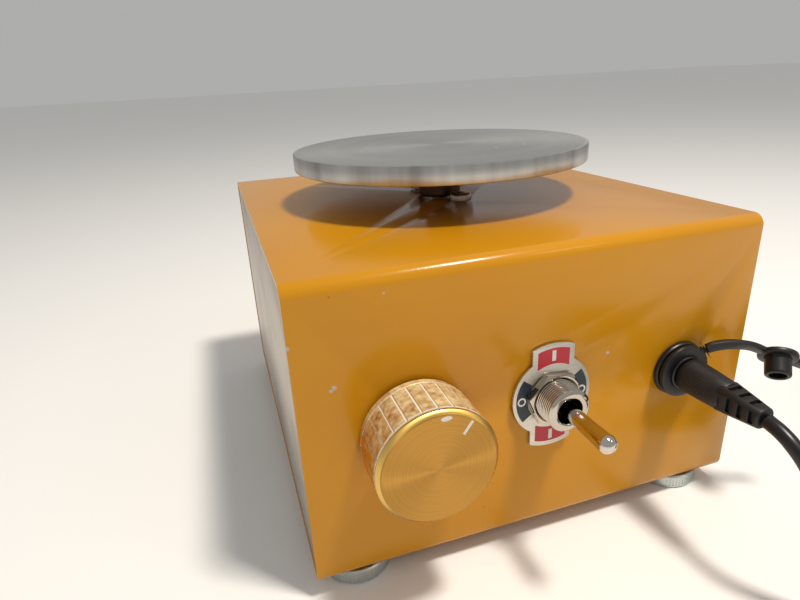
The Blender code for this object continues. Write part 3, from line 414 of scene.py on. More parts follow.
turnedDisc = {"colour": "#c6c6c3", "dark": "#a09c96", "clay": "#d9d6cf", "feedMm": 0.55, "arcMm": 7.0,
              "scratchMm": 0.28, "cloudMm": 30, "speckMm": 9, "edgeFrom": 49.2}


def makeTurnedDisc():
    # aluminium faced on a lathe: rings too fine to count, drawn coarser here, scuffs and specks of dried
    # clay; round the rim, light and dark bands of painted reflection and shade
    material, add = newMaterial("latheTurnedAluminium", turnedDisc["colour"], 0.3, 1.0, Anisotropic=0.4)
    radius, angle, height, way = roundAxis(add, at(0, 0, 0), "z")
    place = placeFrom(add, at(0, 0, 0))
    rings, arcs = [add("TexNoise", {"W": radius, "Scale": 1 / (turnedDisc[size] * mm), "Detail": 2.0},
                       noise_dimensions="1D") for size in ("feedMm", "arcMm")]
    cloud = add("TexNoise", {"Vector": place, "Scale": 1 / (turnedDisc["cloudMm"] * mm), "Detail": 2.0})
    side = add("MapRange", (radius, (turnedDisc["edgeFrom"] + 0.2) * mm, (turnedDisc["edgeFrom"] + 0.6) * mm))
    around = add("CombineXYZ", (add("Math", (angle, 1.2), operation="MULTIPLY"),
                                add("Math", (height, 1 / (turnedDisc["scratchMm"] * mm)),
                                    operation="MULTIPLY")))
    scratch = add("TexNoise", {"Vector": around, "Scale": 1.0, "Detail": 4.0})
    # painted reflection and shade: light and dark bands round the rim, put into its colour
    paintedReflectionBands = add("TexNoise", {"W": angle, "Scale": 4.5, "Detail": 3.0}, noise_dimensions="1D")
    cut = add("Mix", {0: side, 2: rings, 3: scratch})
    arcs = add("Math", (arcs, cloud), operation="MULTIPLY")
    # the top darkens along turning arcs; the rim darkens in the painted reflection bands
    tone = add("Mix", {0: side, 2: add("MapRange", (arcs, 0.12, 0.45, 0.0, 0.35)),
                       3: add("MapRange", (paintedReflectionBands, 0.35, 0.7, 0.0, 0.95))})
    colour = add("Mix", {0: tone, 6: turnedDisc["colour"], 7: turnedDisc["dark"]}, out=2, data_type="RGBA")
    dots = add("TexVoronoi", {"Vector": place, "Scale": 1 / (turnedDisc["speckMm"] * mm)})
    speck = add("Math", (add("MapRange", (dots, 0.07, 0.035)), add("MapRange", (cloud, 0.52, 0.58))),
                operation="MULTIPLY")
    gloss = add("MapRange", (cut, 0.0, 1.0, 0.26, 0.46))
    return coat(material, Tangent=way,
                Base_Color=add("Mix", {0: speck, 6: colour, 7: turnedDisc["clay"]}, out=2, data_type="RGBA"),
                Roughness=add("Math", (gloss, speck), operation="ADD"),
                Normal=add("Bump", {"Strength": 0.16, "Distance": 0.05 * mm, "Height": cut}))


# the side colour is a paler gold than the face: painted light on the side, painted shade on the face
knob = {
    "centre": (-37.5, 41.6), "gold": "#c4944a", "shade": "#a67a35", "side": "#e6bd66", "clay": "#e2dcd1",
    "film": "#e0cc98", "radius": 15.1, "rear": 0.8, "face": 17.2, "band": (3.5, 15.2), "panels": 25,
    "columns": 6, "grooveDeep": 0.32, "ringMm": 0.30, "knurlMm": 0.62, "wornMm": 2.6, "crumbMm": 1.3,
    "lineTurn": 36.0, "lineFrom": 9.9, "lineTo": 13.7, "lineHalf": 0.36, "dab": (1.75, 13.1),
    "dabFlat": 2.2}


def makeGold():
    # gold anodised aluminium, spun face and knurled side, with whitish clay dried in every hollow
    material, add = newMaterial("goldAnodisedAluminium", knob["gold"], 0.3, 1.0, Anisotropic=0.9)
    centre = onPanel(knob["centre"][0], 0, knob["centre"][1])
    low, high = knob["band"]
    edge = knob["radius"]
    radius, angle, along, way = roundAxis(add, centre, "y")
    out = add("Math", (along, -1.0), operation="MULTIPLY")
    place = placeFrom(add, centre)
    up = add("SeparateXYZ", (place,), out="Z")
    face = between(add, out, (knob["face"] - 0.25) * mm, 0.1, 0.05 * mm)
    band = between(add, out, (low + 0.1) * mm, (high - 0.1) * mm, 0.05 * mm)
    rings = add("TexNoise", {"W": radius, "Scale": 1 / (knob["ringMm"] * mm), "Detail": 2.0},
                noise_dimensions="1D")
    # the knurl is two crossing sets of cuts
    turns = add("Math", (angle, edge * mm), operation="MULTIPLY")
    cuts = []
    for lean in (1.0, -1.0):
        slant = add("Math", (turns, lean, out), operation="MULTIPLY_ADD")
        slant = add("Math", (slant, 2 * math.pi / (knob["knurlMm"] * mm)), operation="MULTIPLY")
        cuts.append(add("Math", (slant,), operation="SINE"))
    knurl = add("Math", (add("Math", cuts, operation="MINIMUM"), 0.5), operation="MULTIPLY")
    cut = add("Mix", {0: band, 2: 0.5, 3: knurl})
    cut = add("Mix", {0: face, 2: cut, 3: add("Math", (rings, 0.3, 0.35), operation="MULTIPLY_ADD")})
    tone = add("MapRange", (rings, 0.35, 0.7, 0.0, 0.42))
    colour = add("Mix", {0: tone, 6: knob["gold"], 7: knob["shade"]}, out=2, data_type="RGBA")
    gloss = add("MapRange", (cut, 0.0, 1.0, 0.2, 0.36))
    for share, more in ((band, 0.25), (face, 0.12)):
        gloss = add("Math", (share, more, gloss), operation="MULTIPLY_ADD")
    # the face takes a darker gold than the side: painted shade on the face, painted light on the side
    coat(material, Tangent=way, Roughness=gloss,
         Base_Color=add("Mix", {0: face, 6: knob["side"], 7: colour}, out=2, data_type="RGBA"),
         Normal=add("Bump", {"Strength": 0.32, "Distance": 0.07 * mm, "Height": cut}))
    # clay lies in the grooves, in thin films, and in a line at each end of the band, all of it made whiter
    # and thicker towards the top of the knob
    worn, crumbs = [add("TexNoise", {"Vector": place, "Scale": 1 / (knob[size] * mm), "Detail": 4.0})
                    for size in ("wornMm", "crumbMm")]
    upper = add("MapRange", (up, -4 * mm, 14 * mm))
    left = add("MapRange", (add("Math", (upper, 0.22, crumbs), operation="MULTIPLY_ADD"), 0.30, 0.42))
    groove = add("Math", (between(add, radius, 10 * mm, (edge - 0.24) * mm, 0.03 * mm), band),
                 operation="MULTIPLY")
    groove = add("Math", (groove, left), operation="MULTIPLY")
    film = add("Math", (worn, 0.62), operation="MULTIPLY")
    for share, more in ((upper, 0.34), (crumbs, 0.3)):
        film = add("Math", (share, more, film), operation="MULTIPLY_ADD")
    film = add("Math", (add("MapRange", (film, 0.56, 0.92, 0.0, 0.85)),
                        between(add, out, 0.0, (high + 0.1) * mm, 0.05 * mm)), operation="MULTIPLY")
    rims = add("Math", (between(add, out, (high - 0.25) * mm, (high + 0.28) * mm, 0.06 * mm),
                        between(add, out, (low - 0.35) * mm, (low + 0.2) * mm, 0.06 * mm)),
               operation="MAXIMUM")
    for share in (left, add("MapRange", (up, -9 * mm, -2 * mm))):
        rims = add("Math", (rims, share), operation="MULTIPLY")
    # a dab on the face, and the pointer line, cut in and filled with the same clay
    x, z = knob["dab"]
    dab = add("Mapping", {"Vector": place, "Scale": (1, 0, knob["dabFlat"]),
                          "Location": (-x * mm, 0, -z * knob["dabFlat"] * mm)})
    dab = add("MapRange", (add("VectorMath", (dab,), out="Value", operation="LENGTH"), 1.5 * mm, 1.2 * mm))
    turn = math.radians(90 - knob["lineTurn"])
    sides = []
    for way, start, end in (((math.cos(turn), 0, math.sin(turn)), knob["lineFrom"], knob["lineTo"]),
                            ((-math.sin(turn), 0, math.cos(turn)), -knob["lineHalf"], knob["lineHalf"])):
        reach = add("VectorMath", (place, way), out="Value", operation="DOT_PRODUCT")
        sides.append(between(add, reach, start * mm, end * mm, 0.03 * mm))
    marks = add("Math", (dab, add("Math", sides, operation="MULTIPLY")), operation="MAXIMUM")
    marks = add("Math", (marks, face), operation="MULTIPLY")
    thick = add("Math", (groove, rims), operation="MAXIMUM")
    clay = add("Math", (add("Math", (thick, film), operation="MAXIMUM"), marks), operation="MAXIMUM")
    thick = add("Math", (thick, face), operation="MAXIMUM")
    tint = add("Mix", {0: thick, 6: knob["film"], 7: knob["clay"]}, out=2, data_type="RGBA")
    grit = add("Bump", {"Strength": 0.4, "Distance": 0.1 * mm, "Height": crumbs})
    dried = add("BsdfPrincipled", {"Roughness": 0.85, "Base Color": tint, "Normal": grit})
    nodes = material.node_tree.nodes
    mixed = add("MixShader", (clay, nodes["Principled BSDF"].outputs[0], dried))
    material.node_tree.links.new(mixed, nodes["Material Output"].inputs["Surface"])
    return material


def makePlated(name, colour, roughness, smudge):
    # nickel plate over turned brass, bright, with finger smudges that dull it in patches
    material, add = newMaterial(name, colour, roughness, 1.0)
    cloud = add("TexNoise", {"Vector": placeFrom(add, at(0, 0, 0)), "Scale": 1 / (3 * mm), "Detail": 4.0})
    return coat(material, Roughness=add("MapRange", (cloud, 0.35, 0.75, roughness, roughness + smudge)),
                Normal=add("Bump", {"Strength": 0.06, "Distance": 0.04 * mm, "Height": cloud}))


def makeMoulded(name, colour, worn, roughness, grain, strength, metallic=0.0):
    # a moulded, cast or plated surface: a fine grain from its mould or bath, slightly uneven in tone
    material, add = newMaterial(name, colour, roughness, metallic)
    place = placeFrom(add, at(0, 0, 0))
    skin, cloud = [add("TexNoise", {"Vector": place, "Scale": 1 / (size * mm), "Detail": 3.0})
                   for size in (grain, grain * 12)]
    amount = add("MapRange", (cloud, 0.42, 0.75, 0.0, 0.5))
    return coat(material, Base_Color=add("Mix", {0: amount, 6: colour, 7: worn}, out=2, data_type="RGBA"),
                Roughness=add("MapRange", (cloud, 0.0, 1.0, roughness - 0.06, roughness + 0.12)),
                Normal=add("Bump", {"Strength": strength, "Distance": 0.05 * mm, "Height": skin}))


plug = {
    "centre": (43.0, 42.2), "relief": (17.6, 29.5), "wide": 7.6, "narrow": 5.3, "slotPitch": 3.1,
    "slotWide": 1.25, "slotLong": 3.9, "slotDeep": 1.0, "grip": (6.8, 15.5), "gripPitch": 0.62,
    "gripRibs": 44.0, "body": [(0, 18.6), (4.0, 18.6), (4.35, 17.8), (4.75, 11.0), (4.92, 6.4), (4.7, 5.2),
                               (4.2, 4.7), (0, 4.6)]}


def makeGrip():
    # soft PVC moulded over the plug: matt, with a fine cross-cut grip on its thick end
    material = makeMoulded("mouldedPlugPvc", "#0f0f10", "#191818", 0.46, 0.5, 0.2)
    add = partial(addNode, material)
    angle, along = roundAxis(add, onPanel(plug["centre"][0], 0, plug["centre"][1]), "y")[1:3]
    out = add("Math", (along, -1.0), operation="MULTIPLY")
    start, end = plug["grip"]
    cuts = []
    for way, often in ((out, 2 * math.pi / (plug["gripPitch"] * mm)), (angle, plug["gripRibs"])):
        cuts.append(add("Math", (add("Math", (way, often), operation="MULTIPLY"),), operation="SINE"))
    cut = add("Math", (add("Math", cuts, operation="MINIMUM"),
                       between(add, out, start * mm, end * mm, 0.1 * mm)), operation="MULTIPLY")
    return coat(material, Normal=add("Bump", {"Strength": 0.7, "Distance": 0.12 * mm, "Height": cut}))


# name, colour, its worn or uneven tone, roughness, grain in mm, how deep the grain is, metallic
moulded = {
    "foot": ("zincPlatedFoot", "#ccd4d3", "#a4adac", 0.4, 0.8, 0.3, 1.0),            # pale and milky
    "blackened": ("blackenedSteel", "#5a463a", "#3a2c24", 0.34, 0.7, 0.25, 1.0),     # brown-black and oily
    "screw": ("zincPlatedSteel", "#a89c90", "#7c6f66", 0.28, 0.6, 0.2, 1.0),
    "flange": ("mouldedJackNylon", "#0d0d0d", "#181818", 0.36, 0.6, 0.2),
    "rubber": ("dustCapRubber", "#0f0f0f", "#1a1a1a", 0.4, 0.5, 0.25),
    "cord": ("extrudedCordPvc", "#0e0e0f", "#161516", 0.3, 1.2, 0.12),               # smooth, a little shiny
    "adapter": ("adapterAbs", "#1a1a1b", "#242425", 0.45, 0.4, 0.4),                 # spark-eroded, matt
    "red": ("screenPrintedRed", "#b41f2d", "#c23340", 0.4, 0.5, 0.1),
    "ink": ("screenPrintedDark", "#1b2a36", "#22323f", 0.4, 0.5, 0.1),
    "white": ("screenPrintedWhite", "#d9d6d0", "#c6c2ba", 0.42, 0.5, 0.1),
    "ferrite": ("sinteredFerrite", "#34343a", "#2a2a2e", 0.7, 0.5, 0.5),             # dull and gritty
    "nylon": ("blackNylon", "#1a1a1c", "#242426", 0.4, 0.6, 0.2),
    "copper": ("enamelledCopper", "#b5673b", "#8e4a26", 0.3, 0.6, 0.8, 1.0),
    "brass": ("machinedBrass", "#c9a45c", "#a8853f", 0.28, 0.5, 0.3, 1.0),
    "wireRed": ("wirePvcRed", "#a01216", "#8c0f13", 0.4, 0.8, 0.12),
    "wireBlack": ("wirePvcBlack", "#1c1c1c", "#252525", 0.4, 0.8, 0.12),
    "blue": ("switchPbt", "#1f3f86", "#254a99", 0.42, 0.6, 0.2),
    "board": ("solderResistGreen", "#0f4a25", "#146030", 0.35, 1.0, 0.15),
}
finishes = {"enamel": makeEnamel(), "disc": makeTurnedDisc(), "gold": makeGold(), "grip": makeGrip(),
            "sheet": makeBrushed("brushedAluminiumSheet", "#c9c3ba", "#9c8d7c", 0.22, "z", 0.36),
            "plate": makeBrushed("satinLegendAluminium", "#d6d2ca", "#b5aca0", 0.3, "x", 0.42),
            "nickel": makePlated("brightNickelPlate", "#c4bcb0", 0.09, 0.12),
            "lever": makePlated("polishedNickelPlate", "#cfc8bd", 0.05, 0.06),
            **{finish: makeMoulded(*row) for finish, row in moulded.items()}}
print("materials made:", len(finishes))


# power lead

lead = {
    "diameter": 3.8, "floor": -5.0, "coilCentre": (104.0, -128.0), "coilFrom": -110.0, "coilTo": -72.4,
    "turnRadii": [26.8, 23.0, 19.2, 19.2, 23.0, 26.8, 23.0, 26.8], "turnLayers": [0, 0, 0, 1, 1, 1, 2, 2],
    "easeOver": 60.0, "perTurn": 20, "route": [(43.0, 30.0, 42.1), (43.0, 34.1, 41.2), (43.2, 37.8, 39.3),
                                               (43.8, 40.9, 36.4), (44.7, 43.1, 32.9), (46.2, 45.5, 28.0),
                                               (48.4, 48.3, 21.0), (51.2, 51.5, 13.4), (54.4, 55.0, 6.2),
                                               (58.4, 59.0, 0.6), (63.6, 63.6, -2.4), (70.2, 68.6, -3.1),
                                               (79.9, 73.1, -3.1), (86.5, 76.6, -3.1)],
    "tail": [(118.8, 76.7, 3.6), (125.4, 74.5, 1.4), (132.1, 72.4, -1.2), (138.8, 70.3, -2.8),
             (145.4, 68.2, -3.1), (151.6, 64.8, -3.0), (155.6, 60.0, -2.0), (157.6, 54.9, -0.1),
             (158.0, 50.0, 0.6)]}


def coilPoints():
    # round and round from the outside in, up a layer, and back out, each turn a diameter from the last
    points = []
    last = len(lead["turnRadii"]) - 1
    total = 360.0 * last + lead["coilTo"] - lead["coilFrom"]
    count = round(total / 360 * lead["perTurn"])
    for i in range(count + 1):
        gone = total * i / count
        turn = min(int(gone / 360), last)
        into = gone - 360 * turn
        share = 0.0
        if turn > 0 and into < lead["easeOver"]:
            share = 1 - into / lead["easeOver"]
            share = share * share * (3 - 2 * share)
        before = max(turn - 1, 0)
        radius = lead["turnRadii"][turn] * (1 - share) + lead["turnRadii"][before] * share
        layer = lead["turnLayers"][turn] * (1 - share) + lead["turnLayers"][before] * share
        angle = math.radians(lead["coilFrom"] + gone)
        height = lead["floor"] + lead["diameter"] * (0.5 + layer)
        points.append(at(lead["coilCentre"][0] + radius * math.cos(angle),
                         lead["coilCentre"][1] + radius * math.sin(angle), height))
    return points


def makeLead():
    points = [onPanel(*place) for place in lead["route"]] + coilPoints()
    points += [onPanel(*place) for place in lead["tail"]]
    curve = bpy.data.curves.new("power_lead", "CURVE")
    curve.dimensions = "3D"
    curve.bevel_depth = lead["diameter"] / 2 * mm
    curve.bevel_resolution = 5
    curve.resolution_u = 6
    curve.use_fill_caps = True
    spline = curve.splines.new("BEZIER")
    spline.bezier_points.add(len(points) - 1)
    for knot, place in zip(spline.bezier_points, points):
        knot.co = place
        knot.handle_left_type = "AUTO"
        knot.handle_right_type = "AUTO"
    cord = bpy.data.objects.new("power_lead", curve)
    bpy.context.scene.collection.objects.link(cord)
    curve.materials.append(finishes["cord"])
    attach(cord, "housing")
    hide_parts("cord_lead", "cord_coil", "cord_tail")
    length = sum((there - here).length for here, there in zip(points, points[1:]))
    print("power lead", round(length, 3), "m")
    return cord, length


def makePlug():
    x, z = plug["centre"]
    body = spinPiece("plug_round", plug["body"], 64, onPanel(x, 0, z), facingOut)
    start, end = plug["relief"]
    relief = addBox("plug_relief", onPanel(x, (start + end) / 2, z),
                    (plug["wide"], end - start, plug["wide"]))
    selectFaces(relief, lambda centre, normal: normal.y < -0.9)
    ratio = plug["narrow"] / plug["wide"]
    bpy.ops.transform.resize(value=(ratio, 1, ratio))
    roundEdges(relief, 1, 1.9, 5)
    roundFace(relief, 1, -1, 0.5, 3)
    slots = []
    for side in range(4):
        turn = math.radians(90 * side)
        for row in range(3):
            out = start + 2.3 + plug["slotPitch"] * (row + (0.5 if side % 2 else 0.0))
            half = (plug["wide"] + (plug["narrow"] - plug["wide"]) * (out - start) / (end - start)) / 2
            off = half - plug["slotDeep"] / 2 + 0.6
            place = onPanel(x + off * math.sin(turn), out, z + off * math.cos(turn))
            slot = addBox("slot", place, (plug["slotLong"] * (1 - 0.08 * row), plug["slotWide"],
                                          plug["slotDeep"] + 1.2))
            slot.rotation_euler = (0, turn, 0)
            slots.append(slot)
    cutWith(relief, joined("slots", *slots))
    soften(relief, 0.15, 2, 50)
    whole = joined("plug_moulding", body, relief)
    return settle(whole, "grip", "housing", "black_rubber", "plug_body")


adapter = {
    "place": (158.0, -84.4), "size": (40.0, 60.0, 26.0), "round": 2.4, "cordHeight": 0.6, "reveal": 0.35}


def makeAdapter():
    x, y = adapter["place"]
    wide, long, tall = adapter["size"]
    floor = lead["floor"]
    halves = []
    for name, low, high, less in (("adapter_lower", 0, tall / 2 - 0.3, 0),
                                  ("adapter_upper", tall / 2 + 0.3, tall, 0),
                                  ("adapter_waist", tall / 2 - 2, tall / 2 + 2, adapter["reveal"] * 2)):
        half = addBox(name, at(x, y, floor + (low + high) / 2), (wide - less, long - less, high - low))
        roundEdges(half, 2, adapter["round"] + 1.2, 5)
        if less == 0:
            outward = -1 if low == 0 else 1
            roundFace(half, 2, outward, adapter["round"], 5)
            roundFace(half, 2, -outward, 0.3, 2)
        halves.append(half)
    glandProfile = [(0, 10), (2.4, 10), (2.7, 9.7)]
    for i in range(4):
        rise = 9.3 - 2.1 * i
        glandProfile += [(2.75 + 0.25 * i, rise), (2.3 + 0.25 * i, rise - 0.2), (2.3 + 0.25 * i, rise - 0.9),
                         (2.85 + 0.25 * i, rise - 1.1)]
    glandProfile += [(3.95, 0.8), (3.95, -3), (0, -3)]
    gland = spinPiece("adapter_gland", glandProfile, 40, at(x, y - long / 2, adapter["cordHeight"]),
                      facingOut)
    whole = joined("adapter_case", *halves, gland)
    return settle(whole, "adapter", "housing", "black_rubber", "adapter_body")


cordPiece, cordLength = makeLead()
plugPiece = makePlug()
adapterPiece = makeAdapter()
print("lead, plug and adapter made")


# housing

housing = {"width": 133.0, "depth": 149.4, "height": 84.4, "sheet": 1.5, "bend": 3.4, "plateIn": 1.05,
           "topHoles": [(0, 0, 6.3)], "screwTurn": -82.0, "screwCircle": 14.5,
           "panelHoles": [(-37.5, 41.6, 3.8), (1.1, 43.0, 6.3), (43.0, 42.2, 5.8)], "foot": (53.8, 64.0)}


def screwPlace(index):
    angle = math.radians(housing["screwTurn"] + 180 * index)
    return housing["screwCircle"] * math.cos(angle), housing["screwCircle"] * math.sin(angle)


def makeHousing():
    # a bent sheet: a box without its ends, its long edges rolled, then given the sheet's thickness
    size = (housing["width"], housing["depth"], housing["height"])
    shell = addBox("housing_sheet", at(0, 0, housing["height"] / 2), size)
    selectFaces(shell, lambda centre, normal: abs(normal.x) > 0.9)
    bpy.ops.mesh.delete(type="ONLY_FACE")
    roundEdges(shell, 0, housing["bend"], 10)
    skin = shell.modifiers.new("sheet", "SOLIDIFY")
    skin.thickness = housing["sheet"] * mm
    skin.offset = -1.0
    skin.use_even_offset = True
    bpy.ops.object.modifier_apply(modifier="sheet")
    for x, y, radius in housing["topHoles"] + [(*screwPlace(i), 2.3) for i in range(2)]:
        cutWith(shell, addRod(at(x, y, housing["height"]), radius, 6.0))
    for x, z, radius in housing["panelHoles"]:
        cutWith(shell, addRod(onPanel(x, 0, z), radius, 6.0, facingOut))
    footX, footY = housing["foot"]
    for x in (-footX, footX):
        for y in (-footY, footY):
            cutWith(shell, addRod(at(x, y, 0), 2.3, 6.0))
    soften(shell, 0.28, 2, 60)
    settle(shell, "enamel", "housing", "orange_enamel", "housing_shell", smoothAngle=30)
    for side, name in ((-1, "end_plate_left"), (1, "end_plate_right")):
        inner = 2 * housing["sheet"] + 0.6
        place = at(side * (housing["width"] / 2 - housing["plateIn"]), 0, housing["height"] / 2)
        size = (housing["sheet"], housing["depth"] - inner, housing["height"] - inner)
        plate = addBox(name.replace("end_", "side_"), place, size)
        roundEdges(plate, 0, 1.6, 6)
        soften(plate, 0.2, 2, 60)
        settle(plate, "sheet", "housing", "brushed_sheet", name)


makeHousing()
print("housing made")


foot = {
    "columns": 120, "cut": 0.16, "profile": [(2.1, -0.3), (9.5, -0.3), (9.95, -0.7), (9.95, -3.9),
                                             (9.8, -4.5), (9.3, -4.95), (8.9, -5.0), (4.7, -5.0),
                                             (4.6, -4.9), (4.6, -1.8), (2.1, -1.8), (2.1, -0.3)]}


def makeFeet():
    # one knurled disc, then three copies of it
    first = spinPiece("knurled_foot", foot["profile"], foot["columns"], (0, 0, 0))

    def alternate(centre, normal):
        onSide = math.hypot(centre.x, centre.y) > 9.8 * mm and centre.z > -3.95 * mm
        return onSide and columnAt(centre, foot["columns"]) % 2 == 0

    selectFaces(first, alternate)
    bpy.ops.mesh.extrude_region_shrink_fatten(TRANSFORM_OT_shrink_fatten={"value": -foot["cut"] * mm})
    pick(first)
    x, y = housing["foot"]
    first.location = at(-x, -y, 0)
    places = {"foot_front_left": (0, 0), "foot_front_right": (2 * x, 0), "foot_back_left": (0, 2 * y),
              "foot_back_right": (2 * x, 2 * y)}
    feet = {node: copied(first, "knurled_" + node, (*shift, 0)) for node, shift in places.items()}
    bpy.data.objects.remove(first)
    for node, piece in feet.items():
        settle(piece, "foot", "housing", "turned_aluminium", node, smoothAngle=25)


makeFeet()
print("feet made")


head = {"radius": 50.0, "top": 101.9, "thick": 5.6, "edge": 0.45, "hubRadius": 7.4, "hubBottom": 84.9,
        "shaft": 2.55, "screwTurn": 140.0, "screwHeight": 90.6}


def makeWheelHead():
    bottom = head["top"] - head["thick"]
    r, top, e = head["radius"], head["top"], head["edge"]
    profile = [(0, top), (r - 12, top), (r - 2, top), (r - e, top), (r - e * 0.3, top - e * 0.3),
               (r, top - e), (r, bottom + e), (r - e * 0.3, bottom + e * 0.3), (r - e, bottom),
               (20, bottom), (6.2, bottom), (6.2, bottom + 3), (0, bottom + 3)]
    disc = spinPiece("turned_wheel_head", profile, 192, at(0, 0, 0))
    settle(disc, "disc", "wheel", "turned_aluminium", "wheel_head", smoothAngle=30)
    neck = 6.15
    hub = [(head["shaft"], bottom + 2.7), (neck, bottom + 2.7), (neck, bottom - 0.3),
           (head["hubRadius"] - 0.4, bottom - 0.3), (head["hubRadius"], bottom - 0.7),
           (head["hubRadius"], 93.0), (head["hubRadius"] - 0.3, 92.7), (head["hubRadius"] - 0.3, 92.2),
           (head["hubRadius"], 91.9), (head["hubRadius"], head["hubBottom"] + 0.5),
           (head["hubRadius"] - 0.5, head["hubBottom"]), (head["shaft"], head["hubBottom"]),
           (head["shaft"], bottom + 2.7)]
    collar = spinPiece("shaft_collar", hub, 72, at(0, 0, 0))
    turn = math.radians(head["screwTurn"])
    place = at(6 * math.cos(turn), 6 * math.sin(turn), head["screwHeight"])
    cutWith(collar, addRod(place, 2.05, 8.0, (0, math.radians(90), turn)))
    settle(collar, "blackened", "wheel", "dark_steel", "wheel_hub")


def makeMotorScrews():
    # socket cap screws, their heads just clear of the sheet
    for i, node in enumerate(("motor_screw_front", "motor_screw_back")):
        x, y = screwPlace(i)
        low = housing["height"] + 0.3
        profile = [(0, low + 2.5), (2.7, low + 2.5), (3.1, low + 2.4), (3.5, low + 2.0), (3.68, low + 1.4),
                   (3.7, low + 0.1), (3.6, low), (2.0, low), (2.0, low - 4.8), (1.6, low - 5.1),
                   (0, low - 5.1)]
        screw = spinPiece("cap_" + node, profile, 56, at(x, y, 0))
        cutWith(screw, addRod(at(x, y, low + 2.2), 1.45, 2.6, sides=6))
        settle(screw, "screw", "housing", "plain_steel", node)


makeWheelHead()
makeMotorScrews()
print("wheel head made")


def makeKnob():
    # turned outline first, then every sixth column of the band pressed in as a straight groove
    r, rear, face = knob["radius"], knob["rear"], knob["face"]
    low, high = knob["band"]
    profile = [(0, face - 0.06), (13.2, face - 0.06), (13.75, face), (14.0, face - 0.05),
               (r - 0.12, face - 1.0), (r, face - 1.25), (r, high + 0.42), (r - 0.35, high + 0.3),
               (r - 0.35, high + 0.05), (r, high), (r, low), (r - 0.45, low - 0.12), (r - 0.45, low - 0.5),
               (r - 0.32, low - 0.7), (r - 0.32, rear + 0.5), (r - 0.55, rear + 0.1), (r - 0.9, rear),
               (7.6, rear), (7.6, 5.0), (3.05, 5.0), (3.05, 14.2), (0, 14.2)]
    steps = knob["panels"] * knob["columns"]
    piece = spinPiece("fluted_knob", profile, steps, (0, 0, 0))

    def groove(centre, normal):
        inBand = low * mm < centre.z < high * mm and math.hypot(centre.x, centre.y) > (r - 0.2) * mm
        return inBand and columnAt(centre, steps) % knob["columns"] == 0

    selectFaces(piece, groove)
    bpy.ops.mesh.extrude_region_shrink_fatten(TRANSFORM_OT_shrink_fatten={"value": -knob["grooveDeep"] * mm})
    pick(piece)
    x, z = knob["centre"]
    piece.location = onPanel(x, 0, z)
    piece.rotation_euler = facingOut
    bpy.ops.object.transform_apply(location=True, rotation=True, scale=True)
    cutWith(piece, addRod(onPanel(x + 10, 8.6, z), 1.6, 14.0, (0, math.radians(90), 0)))
    settle(piece, "gold", "knob", "gold_anodised", "speed_knob", smoothAngle=28)


makeKnob()
print("speed knob made")


toggle = {
    "centre": (1.1, 43.0), "plateThick": 0.8, "plateRadius": 11.6, "tabHalf": 6.1, "tabReach": 15.5,
    "nutAcross": 14.0, "nutThick": 2.4, "nutTurn": -9.0, "bushing": 6.0, "reach": 10.0, "threadPitch": 0.72,
    "pivot": 3.5, "leverReach": 26.7, "field": (14.2, 9.6, 4.7), "ink": 0.05}


def cutPlate(name, outlines, thick, place, edge=0.0):
    # a flat shape cut to its outlines, the later ones holes, standing on place and facing out of the panel
    curve = bpy.data.curves.new(name, "CURVE")
    curve.dimensions = "2D"
    curve.fill_mode = "BOTH"
    curve.extrude = (thick / 2 - edge) * mm
    curve.bevel_depth = edge * mm
    curve.bevel_resolution = 1
    for outline in outlines:
        spline = curve.splines.new("POLY")
        spline.points.add(len(outline) - 1)
        for knot, (x, y) in zip(spline.points, outline):
            knot.co = (x * mm, y * mm, 0, 1)
        spline.use_cyclic_u = True
    piece = bpy.data.objects.new(name, curve)
    bpy.context.scene.collection.objects.link(piece)
    piece.location = place + Vector((0, -thick / 2 * mm, 0))
    piece.rotation_euler = facingOut
    pick(piece)
    bpy.ops.object.convert(target="MESH")
    faceOutwards(bpy.context.object)
    return bpy.context.object


def arc(radius, first, last, steps=18):
    return [(radius * math.cos(math.radians(first + (last - first) * i / steps)),
             radius * math.sin(math.radians(first + (last - first) * i / steps))) for i in range(steps + 1)]


def legendOutline():
    corner = math.degrees(math.acos(toggle["tabHalf"] / toggle["plateRadius"]))
    tabCorner = math.degrees(math.acos(toggle["tabHalf"] / toggle["tabReach"]))
    outline = []
    for start in (0, 180):
        outline += arc(toggle["plateRadius"], start - corner, start + corner)
        outline += arc(toggle["tabReach"], start + tabCorner, start + 180 - tabCorner, 8)
    return outline


def tabField(start):
    # the printed field of one tab: straight sides, arcs at both ends
    outer, inner, half = toggle["field"]
    far = math.degrees(math.acos(half / outer))
    close = math.degrees(math.acos(half / inner))
    return arc(outer, start + far, start + 180 - far, 10) + arc(inner, start + 180 - close, start + close, 10)


